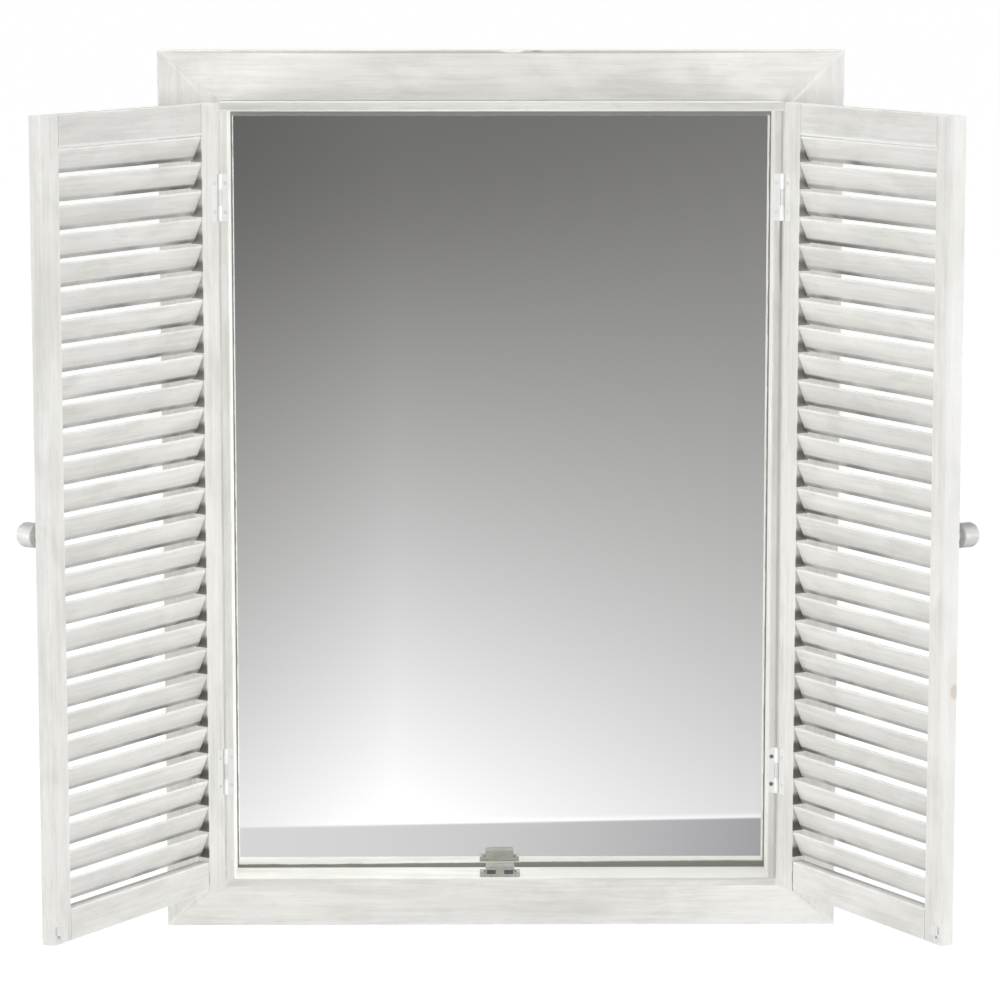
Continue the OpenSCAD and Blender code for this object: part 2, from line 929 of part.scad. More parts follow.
module strike_screw() {
    color(steel) translate([strike_u, back_v, strike_screw_z - box_z]) mirror([0, 1, 0])
        countersunk_screw(strike_screw_r, strike_screw_l, strike_head_r, strike_t);
}

module shutter_leaves() {
    color(white_metal) for (z = hinge_zs) translate([0, 0, z]) shutter_leaf();
}

module leaf_screws() {
    color(dark_steel)
        for (z = hinge_zs)
            for (s = leaf_screw_zs)
                translate([shutter_screw_u, back_v, z + s]) mirror([0, 1, 0])
                    countersunk_screw(leaf_screw_d / 2, leaf_screw_l, leaf_head_r, leaf_t);
}

// ---- Nodes ----

hung() outer_top_rail();
hung() outer_bottom_rail();
hung() outer_left_stile();
hung() outer_right_stile();
hung() mitre_plates();
hung() frame_brads();
hung() box_top_rail();
hung() box_bottom_rail();
hung() box_left_jamb();
hung() box_right_jamb();
hung() box_corner_brads();
hung() mirror_glass();
hung() backing_panel();
hung() backing_points();
hung() hanger_plates();
hung() hanger_screws();
hung() catch_housing();
hung() catch_magnets();
hung() catch_poles();
hung() catch_screws();
hung() left_frame_leaves();
hung() right_frame_leaves();
hung() left_hinge_pins();
hung() right_hinge_pins();
hung() frame_leaf_screws();

on_left() hinge_stile();  // left_hinge_stile
on_left() free_stile();  // left_free_stile
on_left() shutter_top_rail();  // left_top_rail
on_left() shutter_bottom_rail();  // left_bottom_rail
on_left() louvres();  // left_louvres
on_left() rail_dowels();  // left_rail_dowels
on_left() knob();  // left_knob
on_left() knob_stud();  // left_knob_stud
on_left() strike_plate();  // left_strike_plate
on_left() strike_screw();  // left_strike_screw
on_left() shutter_leaves();  // left_shutter_leaves
on_left() leaf_screws();  // left_leaf_screws

on_right() hinge_stile();  // right_hinge_stile
on_right() free_stile();  // right_free_stile
on_right() shutter_top_rail();  // right_top_rail
on_right() shutter_bottom_rail();  // right_bottom_rail
on_right() louvres();  // right_louvres
on_right() rail_dowels();  // right_rail_dowels
on_right() knob();  // right_knob
on_right() knob_stud();  // right_knob_stud
on_right() strike_plate();  // right_strike_plate
on_right() strike_screw();  // right_strike_screw
on_right() shutter_leaves();  // right_shutter_leaves
on_right() leaf_screws();  // right_leaf_screws
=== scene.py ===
"""Dresses the shutter mirror: a whitewashed window frame round a mirror, with two louvred shutters."""

import json
import logging
import math
from dataclasses import dataclass, field, replace
from enum import Enum
from typing import Dict, List, Optional, Sequence, Tuple, Union

import bpy
from mathutils import Matrix, Vector


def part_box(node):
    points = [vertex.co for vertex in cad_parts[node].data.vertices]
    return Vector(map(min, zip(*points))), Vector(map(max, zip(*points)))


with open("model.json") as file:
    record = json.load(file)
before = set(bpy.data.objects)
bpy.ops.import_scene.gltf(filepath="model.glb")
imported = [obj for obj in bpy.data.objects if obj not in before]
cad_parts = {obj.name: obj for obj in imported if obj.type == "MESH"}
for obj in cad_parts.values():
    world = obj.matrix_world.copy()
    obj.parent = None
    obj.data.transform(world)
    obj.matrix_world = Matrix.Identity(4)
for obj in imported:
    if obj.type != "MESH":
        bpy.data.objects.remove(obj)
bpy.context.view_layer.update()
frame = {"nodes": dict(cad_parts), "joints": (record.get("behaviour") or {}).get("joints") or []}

log = logging.getLogger("shutter_mirror")

Triple = Tuple[float, float, float]
Colour = Triple
Span = Tuple[float, float]
Socket = bpy.types.NodeSocket
Feed = Union[Socket, float, int, Sequence[float]]


class Side(Enum):
    """A side of the mirror, with the sign of its X."""

    LEFT = -1
    RIGHT = 1

    @property
    def word(self) -> str:
        """The side's name, as the nodes have it."""
        return self.name.lower()


class Grain(Enum):
    """The axis of a piece, in its own upright frame, that its wood grain runs along."""

    LEVEL = "level"
    UPRIGHT = "upright"


# ---- Node trees ----


class Graph:
    """Adds and links nodes in one node tree."""

    def __init__(self, tree: bpy.types.NodeTree) -> None:
        """Takes a material's, world's or group's node tree to work in."""
        self.tree = tree

    def node(self, kind: str, *given: Feed, **settings: object) -> bpy.types.Node:
        """Adds a node.

        Args:
            kind: The node's type name.
            *given: Sockets or constants for its first inputs, in order.
            **settings: Properties of the node to set.

        Returns:
            The new node.
        """
        made = self.tree.nodes.new(kind)
        for key, value in settings.items():
            setattr(made, key, value)
        for socket, value in zip(made.inputs, given):
            self.feed(socket, value)
        return made

    def feed(self, target: Socket, value: Feed) -> None:
        """Links a socket to another, or gives it a constant.

        Args:
            target: The input to fill.
            value: An output socket, or the constant.
        """
        if isinstance(value, bpy.types.NodeSocket):
            self.tree.links.new(value, target)
        elif isinstance(value, (int, float)) or len(value) == len(target.default_value):
            target.default_value = value
        else:
            target.default_value = (*value, 1.0)

    def fill(self, node: bpy.types.Node, **given: Feed) -> None:
        """Fills a node's inputs by name, with underscores for the spaces in their names."""
        for key, value in given.items():
            self.feed(node.inputs[key.replace("_", " ")], value)

    def math(self, operation: str, a: Feed, b: Feed = 0.0, c: Feed = 0.0, clamp: bool = False) -> Socket:
        """Adds a Math node and returns its result, which clamp keeps from 0 to 1."""
        return self.node("ShaderNodeMath", a, b, c, operation=operation, use_clamp=clamp).outputs[0]

    def vector(self, operation: str, a: Feed, b: Feed = (0.0, 0.0, 0.0)) -> Socket:
        """Adds a Vector Math node: DOT_PRODUCT and LENGTH give a value, and the others a vector."""
        made = self.node("ShaderNodeVectorMath", a, b, operation=operation)
        return made.outputs["Value" if operation in ("DOT_PRODUCT", "LENGTH") else "Vector"]

    def split(self, value: Socket) -> Tuple[Socket, Socket, Socket]:
        """Splits a vector into its X, Y and Z."""
        return tuple(self.node("ShaderNodeSeparateXYZ", value).outputs)

    def join(self, x: Feed, y: Feed, z: Feed) -> Socket:
        """Joins X, Y and Z into a vector."""
        return self.node("ShaderNodeCombineXYZ", x, y, z).outputs[0]

    def mix(self, factor: Feed, a: Feed, b: Feed) -> Socket:
        """Mixes two colours.

        Args:
            factor: Share of the second colour.
            a: First colour.
            b: Second colour.

        Returns:
            The mixed colour.
        """
        made = self.node("ShaderNodeMix", factor, data_type="RGBA")
        first, second, mixed = made.inputs[6], made.inputs[7], made.outputs[2]
        self.feed(first, a)
        self.feed(second, b)
        return mixed

    def lay(self, under: Feed, over: Feed, mask: Socket, share: float) -> Socket:
        """Lays a colour over another by a share of a mask."""
        return self.mix(self.math("MULTIPLY", mask, share), under, over)

    def blend(self, share: Socket, a: Feed, b: Feed) -> Socket:
        """Mixes two values by the second one's share."""
        first = self.math("MULTIPLY", a, self.math("SUBTRACT", 1.0, share))
        return self.math("ADD", self.math("MULTIPLY", b, share), first)

    def most(self, *masks: Socket) -> Feed:
        """Finds the largest of some masks.

        Args:
            *masks: The masks, none of which goes below 0.

        Returns:
            The largest, or 0 where there is none.
        """
        found: Feed = 0.0
        for mask in masks:
            found = self.math("MAXIMUM", mask, found)
        return found

    def surface(self, kind: str, *given: Feed) -> Socket:
        """Adds a surface node with its first inputs in order, and returns its surface."""
        return self.node(kind, *given).outputs[0]

    def noise(self, vector: Socket, scale: Feed, detail: float, rough: float, swirl: float = 0.0) -> Socket:
        """Adds a noise texture.

        Args:
            vector: Coordinates.
            scale: Features in one unit of the coordinates.
            detail: Octaves.
            rough: Share of each finer octave.
            swirl: Distortion.

        Returns:
            The noise, about 0.3 to 0.7.
        """
        made = self.node("ShaderNodeTexNoise")
        self.fill(made, Vector=vector, Scale=scale, Detail=detail, Roughness=rough, Distortion=swirl)
        return made.outputs[0]

    def span(self, value: Feed, low: Feed, high: Feed, to_low: float = 0.0, to_high: float = 1.0) -> Socket:
        """Maps a value smoothly from one span to another and keeps it there."""
        given = (value, low, high, to_low, to_high)
        return self.node("ShaderNodeMapRange", *given, interpolation_type="SMOOTHSTEP").outputs[0]

    def shifted(self, vector: Socket, seed: Socket, step: float) -> Socket:
        """Moves coordinates by a seed times a step in metres, so that pieces don't share one pattern."""
        shift = self.math("MULTIPLY", seed, step)
        return self.vector("ADD", vector, self.join(shift, shift, shift))

    def here(self) -> Socket:
        """Returns the coordinates of a CAD node in the row frame, in metres."""
        return self.node("ShaderNodeTexCoord").outputs["Object"]

    def place(self, to_piece: Matrix) -> Socket:
        """Gives the coordinates of a CAD node in a piece's own frame, in metres.

        Args:
            to_piece: Matrix from the row frame to the piece's frame.

        Returns:
            The coordinates.
        """
        coordinates = self.here()
        parts = [
            self.math("ADD", self.vector("DOT_PRODUCT", coordinates, row.xyz), row.w)
            for row in to_piece[:3]
        ]
        return self.join(*parts)


@dataclass(frozen=True)
class Waves:
    """A noise with its own number of features in a metre along each axis."""

    size: Triple
    detail: float
    rough: float = 0.55
    swirl: float = 0.0

    def over(self, graph: Graph, vector: Socket) -> Socket:
        """Returns the noise over some coordinates."""
        scaled = graph.vector("MULTIPLY", vector, self.size)
        return graph.noise(scaled, 1.0, self.detail, self.rough, self.swirl)


@dataclass(frozen=True)
class Port:
    """One input or output of a shader node group."""

    name: str
    kind: str = "NodeSocketFloat"


class Effect:
    """A shader node group that several materials share, built once."""

    name: str = ""
    inputs: Tuple[Port, ...] = ()
    outputs: Tuple[Port, ...] = ()

    def wire(self, graph: Graph, given: Dict[str, Socket]) -> Dict[str, Socket]:
        """Builds the group's inside, from its inputs to its outputs by name."""
        raise NotImplementedError

    def tree(self) -> bpy.types.NodeTree:
        """Returns the group, and builds it when it is asked for first."""
        found = bpy.data.node_groups.get(self.name)
        if found:
            return found
        tree = bpy.data.node_groups.new(self.name, "ShaderNodeTree")
        for way, ports in (("INPUT", self.inputs), ("OUTPUT", self.outputs)):
            for port in ports:
                tree.interface.new_socket(port.name, in_out=way, socket_type=port.kind)
        graph = Graph(tree)
        source = graph.node("NodeGroupInput")
        target = graph.node("NodeGroupOutput")
        made = self.wire(graph, {port.name: source.outputs[port.name] for port in self.inputs})
        for name, socket in made.items():
            graph.feed(target.inputs[name], socket)
        return tree

    def use(self, graph: Graph, **given: Feed) -> Dict[str, Socket]:
        """Places the group in a material.

        Args:
            graph: The material's tree.
            **given: The group's inputs, with underscores for spaces.

        Returns:
            The group's outputs by name.
        """
        made = graph.node("ShaderNodeGroup", node_tree=self.tree())
        graph.fill(made, **given)
        return {port.name: made.outputs[port.name] for port in self.outputs}


class WashedGrain(Effect):
    """Thin white wash brushed along the grain: streaks, fine pores, cloudy cover and brush ridges."""

    name = "washed_grain"
    inputs = (Port("Vector", "NodeSocketVector"), Port("Seed"))
    outputs = (Port("Streaks"), Port("Clouds"), Port("Pores"), Port("Cover"), Port("Height"))

    seed_step: float = 3.71
    bends: Waves = Waves((5.0, 14.0, 14.0), 2.0)
    bend_middle: float = 0.5
    bend_reach: float = 0.012
    streaks: Waves = Waves((9.0, 260.0, 260.0), 4.0, 0.6)
    streak_span: Span = (0.36, 0.66)
    pores: Waves = Waves((45.0, 1500.0, 1500.0), 2.0, 0.6)
    pore_span: Span = (0.60, 0.72)
    cover: Waves = Waves((16.0, 55.0, 55.0), 3.0, 0.5, 0.4)
    cover_span: Span = (0.34, 0.66)
    clouds: Waves = Waves((11.0, 22.0, 22.0), 4.0, 0.55, 0.6)
    cloud_span: Span = (0.36, 0.62)
    brush: Waves = Waves((22.0, 700.0, 700.0), 3.0, 0.6)
    streak_height: float = 0.6
    brush_height: float = 0.4
    pore_depth: float = 0.35

    def wire(self, graph: Graph, given: Dict[str, Socket]) -> Dict[str, Socket]:
        """Builds long noises at several widths, X along the grain."""
        moved = graph.shifted(given["Vector"], given["Seed"], self.seed_step)
        off_middle = graph.math("SUBTRACT", self.bends.over(graph, moved), self.bend_middle)
        swing = graph.math("MULTIPLY", off_middle, self.bend_reach)
        bent = graph.vector("ADD", moved, graph.join(0.0, swing, swing))
        streaks = self.streaks.over(graph, bent)
        ridges = graph.math("MULTIPLY", self.brush.over(graph, moved), self.brush_height)
        height = graph.math("ADD", graph.math("MULTIPLY", streaks, self.streak_height), ridges)
        sunk = graph.span(self.pores.over(graph, bent), *self.pore_span)
        return {
            "Streaks": graph.span(streaks, *self.streak_span),
            "Clouds": graph.span(self.clouds.over(graph, moved), *self.cloud_span),
            "Pores": sunk,
            "Cover": graph.span(self.cover.over(graph, moved), *self.cover_span),
            "Height": graph.math("SUBTRACT", height, graph.math("MULTIPLY", sunk, self.pore_depth)),
        }


class EdgeHighlightsAndWear(Effect):
    """Masks of a block's edges, where highlights are painted, and of the patches worn on them, from its
    middle and half sizes in its own frame.
    """

    name = "worn_edges"
    inputs = (
        Port("Vector", "NodeSocketVector"),
        Port("Middle", "NodeSocketVector"),
        Port("Half", "NodeSocketVector"),
        Port("Width"),
        Port("Seed"),
    )
    outputs = (Port("Edge"), Port("Rub"))

    seed_step: float = 1.93
    patch_scale: float = 34.0
    patch_detail: float = 4.0
    patch_rough: float = 0.65
    patch_span: Span = (0.50, 0.68)

    def wire(self, graph: Graph, given: Dict[str, Socket]) -> Dict[str, Socket]:
        """Takes the second smallest distance to the block's faces and breaks it up with noise."""
        offset = graph.vector("ABSOLUTE", graph.vector("SUBTRACT", given["Vector"], given["Middle"]))
        x, y, z = graph.split(graph.vector("SUBTRACT", given["Half"], offset))
        low = graph.math("MINIMUM", x, y)
        high = graph.math("MAXIMUM", x, y)
        second = graph.math("MAXIMUM", low, graph.math("MINIMUM", high, z))
        edge = graph.span(second, 0.0, given["Width"], 1.0, 0.0)
        moved = graph.shifted(given["Vector"], given["Seed"], self.seed_step)
        patches = graph.noise(moved, self.patch_scale, self.patch_detail, self.patch_rough)
        return {"Edge": edge, "Rub": graph.math("MULTIPLY", edge, graph.span(patches, *self.patch_span))}


class Mottle(Effect):
    """Soft blotches and fine specks, for metal, plastic, hardboard and handled surfaces."""

    name = "mottle"
    inputs = (Port("Vector", "NodeSocketVector"), Port("Blotch Scale"), Port("Speck Scale"))
    outputs = (Port("Blotch"), Port("Speck"))

    blotch_detail: float = 3.0
    blotch_rough: float = 0.6
    blotch_span: Span = (0.34, 0.66)
    speck_detail: float = 2.0
    speck_rough: float = 0.5
    speck_span: Span = (0.55, 0.7)

    def wire(self, graph: Graph, given: Dict[str, Socket]) -> Dict[str, Socket]:
        """Builds one coarse and one fine noise."""
        blotch = graph.noise(given["Vector"], given["Blotch Scale"], self.blotch_detail, self.blotch_rough)
        speck = graph.noise(given["Vector"], given["Speck Scale"], self.speck_detail, self.speck_rough)
        return {"Blotch": graph.span(blotch, *self.blotch_span), "Speck": graph.span(speck, *self.speck_span)}


GRAIN = WashedGrain()
EDGES = EdgeHighlightsAndWear()
MOTTLE = Mottle()


# ---- Finishes ----


class Finish:
    """A surface that dresses pieces. Each finish makes its own material."""

    bump_strength: float = 0.5

    def material(self) -> bpy.types.Material:
        """Returns the finish's material."""
        raise NotImplementedError

    def start(self, name: str, **constants: Feed) -> Tuple[bpy.types.Material, Graph, bpy.types.Node]:
        """Makes a material with a Principled BSDF.

        Args:
            name: The material's name.
            **constants: Constant inputs of the shader, with underscores for spaces.

        Returns:
            The material, its graph and its shader.
        """
        made = bpy.data.materials.new(name)
        made.use_nodes = True
        graph = Graph(made.node_tree)
        shader = made.node_tree.nodes["Principled BSDF"]
        graph.fill(shader, **constants)
        return made, graph, shader

    def bump(self, graph: Graph, shader: bpy.types.Node, height: Socket, depth: float) -> None:
        """Feeds a height to the shader as a bump.

        Args:
            graph: The material's tree.
            shader: Its Principled BSDF.
            height: The height, from 0 to 1.
            depth: What a height of 1 means, in metres.
        """
        made = graph.node("ShaderNodeBump")
        graph.fill(made, Height=height, Distance=depth, Strength=self.bump_strength)
        graph.feed(shader.inputs["Normal"], made.outputs["Normal"])


@dataclass(frozen=True)
class Block:
    """A piece's middle and half sizes in its own frame, X along the grain, and the way to that frame."""

    to_piece: Matrix
    middle: Vector
    half: Vector

    @staticmethod
    def of(node: str, to_piece: Matrix) -> "Block":
        """Measures a CAD node.

        Args:
            node: The node's name.
            to_piece: Matrix from the row frame to the piece's frame.

        Returns:
            The node's block.
        """
        corners = [to_piece @ vertex.co for vertex in frame["nodes"][node].data.vertices]
        low = Vector([min(corner[axis] for corner in corners) for axis in range(3)])
        high = Vector([max(corner[axis] for corner in corners) for axis in range(3)])
        return Block(to_piece, (low + high) / 2, (high - low) / 2)

    @property
    def reach(self) -> Span:
        """The piece's two ends along its grain."""
        return self.middle.x - self.half.x, self.middle.x + self.half.x


@dataclass(frozen=True)
class Mark:
    """A rounded spot of another colour on a piece, in the row frame."""

    middle: Triple
    half: Triple
    colour: Colour
    share: float
    core: float = 0.5

    def at(self, x: float = 0.0, y: float = 0.0, z: float = 0.0) -> "Mark":
        """Returns a mark that is measured from this place in the row frame."""
        return replace(self, middle=tuple(Vector(self.middle) + Vector((x, y, z))))

    def over(self, graph: Graph, colour: Socket) -> Socket:
        """Lays the spot on a colour.

        Args:
            graph: The material's tree.
            colour: The colour so far.

        Returns:
            The colour with the spot.
        """
        offset = graph.vector("DIVIDE", graph.vector("SUBTRACT", graph.here(), self.middle), self.half)
        soft = graph.span(graph.vector("LENGTH", offset), self.core, 1.0, self.share, 0.0)
        return graph.mix(soft, colour, self.colour)


@dataclass(frozen=True)
class SlatRow:
    """A row of slats: their pitch, the top of the first one's share of the height, and their height."""

    pitch: float
    top: float
    height: float
    seed_step: float = 1.37
    tone_spread: float = 0.08

    def below(self, graph: Graph) -> Socket:
        """Returns how far a place lies below the top of the row."""
        return graph.math("SUBTRACT", self.top, graph.split(graph.here())[2])

    def drop(self, graph: Graph) -> Socket:
        """Returns how far a place lies below the top of its own slat's share of the height."""
        return graph.math("MODULO", self.below(graph), self.pitch)

    def values(self, graph: Graph, seed: float, tone: float) -> Tuple[Socket, Socket]:
        """Gives each slat its own seed and tone.

        Args:
            graph: The material's tree.
            seed: The first slat's seed.
            tone: The row's middle tone.

        Returns:
            The seed and the tone.
        """
        number = graph.math("FLOOR", graph.math("DIVIDE", self.below(graph), self.pitch))
        own = graph.math("ADD", graph.math("MULTIPLY", number, self.seed_step), seed)
        chance = graph.node("ShaderNodeTexWhiteNoise", noise_dimensions="1D")
        graph.feed(chance.inputs["W"], own)
        lowest = tone - self.tone_spread / 2
        return own, graph.math("MULTIPLY_ADD", chance.outputs["Value"], self.tone_spread, lowest)


@dataclass(frozen=True)
class JointsAndShade:
    """The dark open joints at boards' ends, and the painted shade on inner side faces and under the slats, in
    metres, and the share of the darkening colour there.
    """

    joint_span: Span = (0.0007, 0.0014)
    face_within: float = 0.0006
    face_far_share: float = 0.8
    wedge_span: Span = (0.46, 0.72)
    wedge_least: float = 0.08
    line_span: Span = (0.0056, 0.0022)
    line_share: float = 0.62
    haze_span: Span = (0.0150, 0.0030)
    haze_share: float = 0.15
    hingeward_share: Span = (0.58, 1.55)
    cover_share: float = 0.7
    least_cover: float = 0.45

    def joint(self, graph: Graph, block: Block, along: Socket, share: float) -> Socket:
        """Masks the open joint at a board's end, by the place along its grain."""
        start = graph.math("SUBTRACT", block.reach[1], along)
        return graph.span(start, *self.joint_span, share, 0.0)

    def side(
        self, graph: Graph, block: Block, place: Socket, share: float, row: Optional[SlatRow]
    ) -> Socket:
        """Masks painted shade on a board's inner side face, and there the wedges of painted shade under the
        slats' ends.

        Args:
            graph: The material's tree.
            block: The board's block.
            place: Coordinates in the board's frame.
            share: The painted shade's share.
            row: The slats that end in the face.

        Returns:
            The mask.
        """
        along, _, across = graph.split(place)
        off_middle = graph.math("ABSOLUTE", graph.math("SUBTRACT", across, block.middle.z))
        inner = graph.math("COMPARE", graph.math("SUBTRACT", block.half.z, off_middle), 0.0, self.face_within)
        facing = graph.math("GREATER_THAN", across, block.middle.z)
        mask = graph.math("MULTIPLY", graph.math("MULTIPLY", inner, facing), share)
        if not row:
            return mask
        low = graph.span(along, *block.reach, 1.0, self.face_far_share)
        start, end = (part * row.pitch for part in self.wedge_span)
        deep = graph.span(row.drop(graph), start, end, self.wedge_least, 1.0)
        return graph.math("MULTIPLY", mask, graph.math("MULTIPLY", low, deep))

    def slats(self, graph: Graph, block: Block, along: Socket, cover: Socket, row: SlatRow) -> Socket:
        """Masks painted shade along the lower edges of the slats, darker towards the hinges.

        Args:
            graph: The material's tree.
            block: The row's block.
            along: Place along the slats.
            cover: Cloudy noise that breaks the mask up.
            row: The slats.

        Returns:
            The mask.
        """
        drop = row.drop(graph)
        foot = (row.pitch + row.height) / 2
        # Painted shade: a dark line and a haze along each slat's lower edge.
        line = graph.span(drop, foot - self.line_span[0], foot - self.line_span[1], 0.0, self.line_share)
        haze = graph.span(drop, foot - self.haze_span[0], foot - self.haze_span[1], 0.0, self.haze_share)
        hingeward = graph.span(along, *block.reach, *self.hingeward_share)
        both = graph.math("MULTIPLY", graph.math("MAXIMUM", line, haze), hingeward)
        broken = graph.math("MULTIPLY_ADD", cover, self.cover_share, self.least_cover)
        return graph.math("MULTIPLY", both, broken, clamp=True)


@dataclass(frozen=True)
class WashedWood(Finish):
    """Softwood under a thin white wash, brushed along the grain and worn at the edges, with dark open joints,
    painted highlights on the arrises and painted shade on inner side faces and under the slats.
    """

    name: str
    block: Block
    seed: float
    tone: float = 1.0
    rub: float = 0.5
    slats: Optional[SlatRow] = None
    slats_beside: Optional[SlatRow] = None
    joint_line: float = 0.0
    # Share of the painted shade on the inner side face.
    side_shade: float = 0.0
    mitre_light: float = 0.0
    marks: Tuple[Mark, ...] = ()

    light: Colour = (0.840, 0.832, 0.804)
    shade: Colour = (0.668, 0.661, 0.628)
    pore: Colour = (0.500, 0.490, 0.445)
    bare: Colour = (0.560, 0.530, 0.465)
    # Colour of the dark open joints and of the painted shade.
    darkening: Colour = (0.150, 0.146, 0.132)
    joints_and_shade: JointsAndShade = JointsAndShade()
    sheen: float = 0.35
    streak_share: float = 0.45
    cloud_share: float = 0.55
    cover_share: float = 0.45
    pore_share: float = 0.35
    # Share and gain of the painted highlight on the arrises.
    edge_highlight: float = 0.3
    highlight_gain: float = 1.12
    edge_width: float = 0.0022
    filler_gain: float = 1.1
    filler_line: Span = (0.0008, 0.0026)
    filler_cover: Span = (0.8, 0.2)
    rough_span: Span = (0.72, 0.56)
    brush_depth: float = 0.0006

    def material(self) -> bpy.types.Material:
        """Mixes wash, streaks, pores, worn edges, dark joints, painted highlights and painted shade."""
        made, graph, shader = self.start(self.name, Specular_IOR_Level=self.sheen)
        place = graph.place(self.block.to_piece)
        seed: Feed = self.seed
        tone: Feed = self.tone
        if self.slats:
            seed, tone = self.slats.values(graph, self.seed, self.tone)
        grain = GRAIN.use(graph, Vector=place, Seed=seed)
        clouds = graph.math("MULTIPLY", grain["Clouds"], self.cloud_share)
        streaks = graph.math("MULTIPLY_ADD", grain["Streaks"], self.streak_share, clouds)
        colour = graph.mix(streaks, self.shade, self.light)
        colour = graph.lay(colour, self.light, grain["Cover"], self.cover_share)
        colour = graph.lay(colour, self.pore, grain["Pores"], self.pore_share)
        if not self.slats:
            # Painted highlights on the arrises, and bare wood where they are worn.
            colour = self.highlit_and_rubbed(graph, place, colour)
        if self.mitre_light:
            filler = [self.filler_gain * part for part in self.light]
            colour = graph.mix(self.mitred(graph, grain["Cover"]), colour, filler)
        # Dark open joints, and painted shade on inner side faces and under the slats.
        colour = graph.mix(self.dark_joints_and_shade(graph, place, grain["Cover"]), colour, self.darkening)
        for mark in self.marks:
            colour = mark.over(graph, colour)
        toned = graph.vector("MULTIPLY", colour, graph.join(tone, tone, tone))
        rough = graph.span(grain["Cover"], 0.0, 1.0, *self.rough_span)
        graph.fill(shader, Base_Color=toned, Roughness=rough)
        self.bump(graph, shader, grain["Height"], self.brush_depth)
        return made

    def highlit_and_rubbed(self, graph: Graph, place: Socket, colour: Socket) -> Socket:
        """Paints highlights on the arrises and lets the wood show through where hands have worn them.

        Args:
            graph: The material's tree.
            place: Coordinates in the piece's frame.
            colour: The colour so far.

        Returns:
            The colour with its arrises.
        """
        edges = EDGES.use(
            graph, Vector=place, Middle=self.block.middle, Half=self.block.half, Width=self.edge_width,
            Seed=self.seed,
        )
        bright = [min(1.0, part * self.highlight_gain) for part in self.light]
        colour = graph.lay(colour, bright, edges["Edge"], self.edge_highlight)
        return graph.lay(colour, self.bare, edges["Rub"], self.rub)

    def mitred(self, graph: Graph, cover: Socket) -> Socket:
        """Masks the filler that shows as a light line along a frame's mitres.

        Args:
            graph: The material's tree.
            cover: Cloudy noise that breaks the line up.

        Returns:
            The mask.
        """
        low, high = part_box("outer_left_stile")
        x, _, z = graph.split(graph.here())
        inward = graph.math("SUBTRACT", -low.x, graph.math("ABSOLUTE", x))
        off_middle = graph.math("ABSOLUTE", graph.math("SUBTRACT", z, (low.z + high.z) / 2))
        upward = graph.math("SUBTRACT", (high.z - low.z) / 2, off_middle)
        off_line = graph.math("ABSOLUTE", graph.math("SUBTRACT", inward, upward))
        line = graph.span(off_line, *self.filler_line, self.mitre_light, 0.0)
        return graph.math("MULTIPLY", line, graph.math("MULTIPLY_ADD", cover, *self.filler_cover))

    def dark_joints_and_shade(self, graph: Graph, place: Socket, cover: Socket) -> Feed:
        """Masks the dark open joints, and the painted shade on inner side faces and under the slats.

        Args:
            graph: The material's tree.
            place: Coordinates in the piece's frame.
            cover: Cloudy noise that breaks the mask up.

        Returns:
            The mask, or 0 where the piece has no such place.
        """
        along = graph.split(place)[0]
        masks: List[Socket] = []
        if self.joint_line:
            masks.append(self.joints_and_shade.joint(graph, self.block, along, self.joint_line))
        if self.side_shade:
            masks.append(self.joints_and_shade.side(graph, self.block, place, self.side_shade, self.slats_beside))
        if self.slats:
            masks.append(self.joints_and_shade.slats(graph, self.block, along, cover, self.slats))
        return graph.most(*masks)


@dataclass(frozen=True)
class PlainFinish(Finish):
    """A metal, plastic, raw wood or board finish: one colour with blotches, specks and roughness, and a
    painted darkening of faces that point up or down, which stands for shade and dark reflections.
    """

    slot: str
    colour: Colour
    dark: Colour
    smooth: float
    rough: float
    blotch: float
    speck: float
    speck_share: float
    metallic: float = 0.0
    stretch: Triple = (1.0, 1.0, 1.0)
    depth: float = 0.00005
    # Share of the painted darkening on faces that point up or down.
    poles: float = 0.0
    blotch_share: float = 0.7
    pole_span: Span = (0.45, 0.95)
    pole_shade: float = 0.3

    def material(self) -> bpy.types.Material:
        """Returns the finish's material, made once."""
        found = bpy.data.materials.get(self.slot + "_finish")
        if found:
            return found
        made, graph, shader = self.start(self.slot + "_finish", Metallic=self.metallic)
        drawn = graph.vector("MULTIPLY", graph.here(), self.stretch)
        spots = MOTTLE.use(graph, Vector=drawn, Blotch_Scale=self.blotch, Speck_Scale=self.speck)
        colour = graph.lay(self.colour, self.dark, spots["Blotch"], self.blotch_share)
        colour = graph.lay(colour, self.dark, spots["Speck"], self.speck_share)
        # Painted darkening of faces that point up or down.
        if self.poles:
            normal = graph.node("ShaderNodeNewGeometry").outputs["Normal"]
            upward = graph.math("ABSOLUTE", graph.split(normal)[2])
            shaded = graph.span(upward, *self.pole_span, 0.0, self.poles)
            colour = graph.mix(shaded, colour, [part * self.pole_shade for part in self.dark])
        rough = graph.span(spots["Blotch"], 0.0, 1.0, self.smooth, self.rough)
        graph.fill(shader, Base_Color=colour, Roughness=rough)
        self.bump(graph, shader, spots["Speck"], self.depth)
        return made


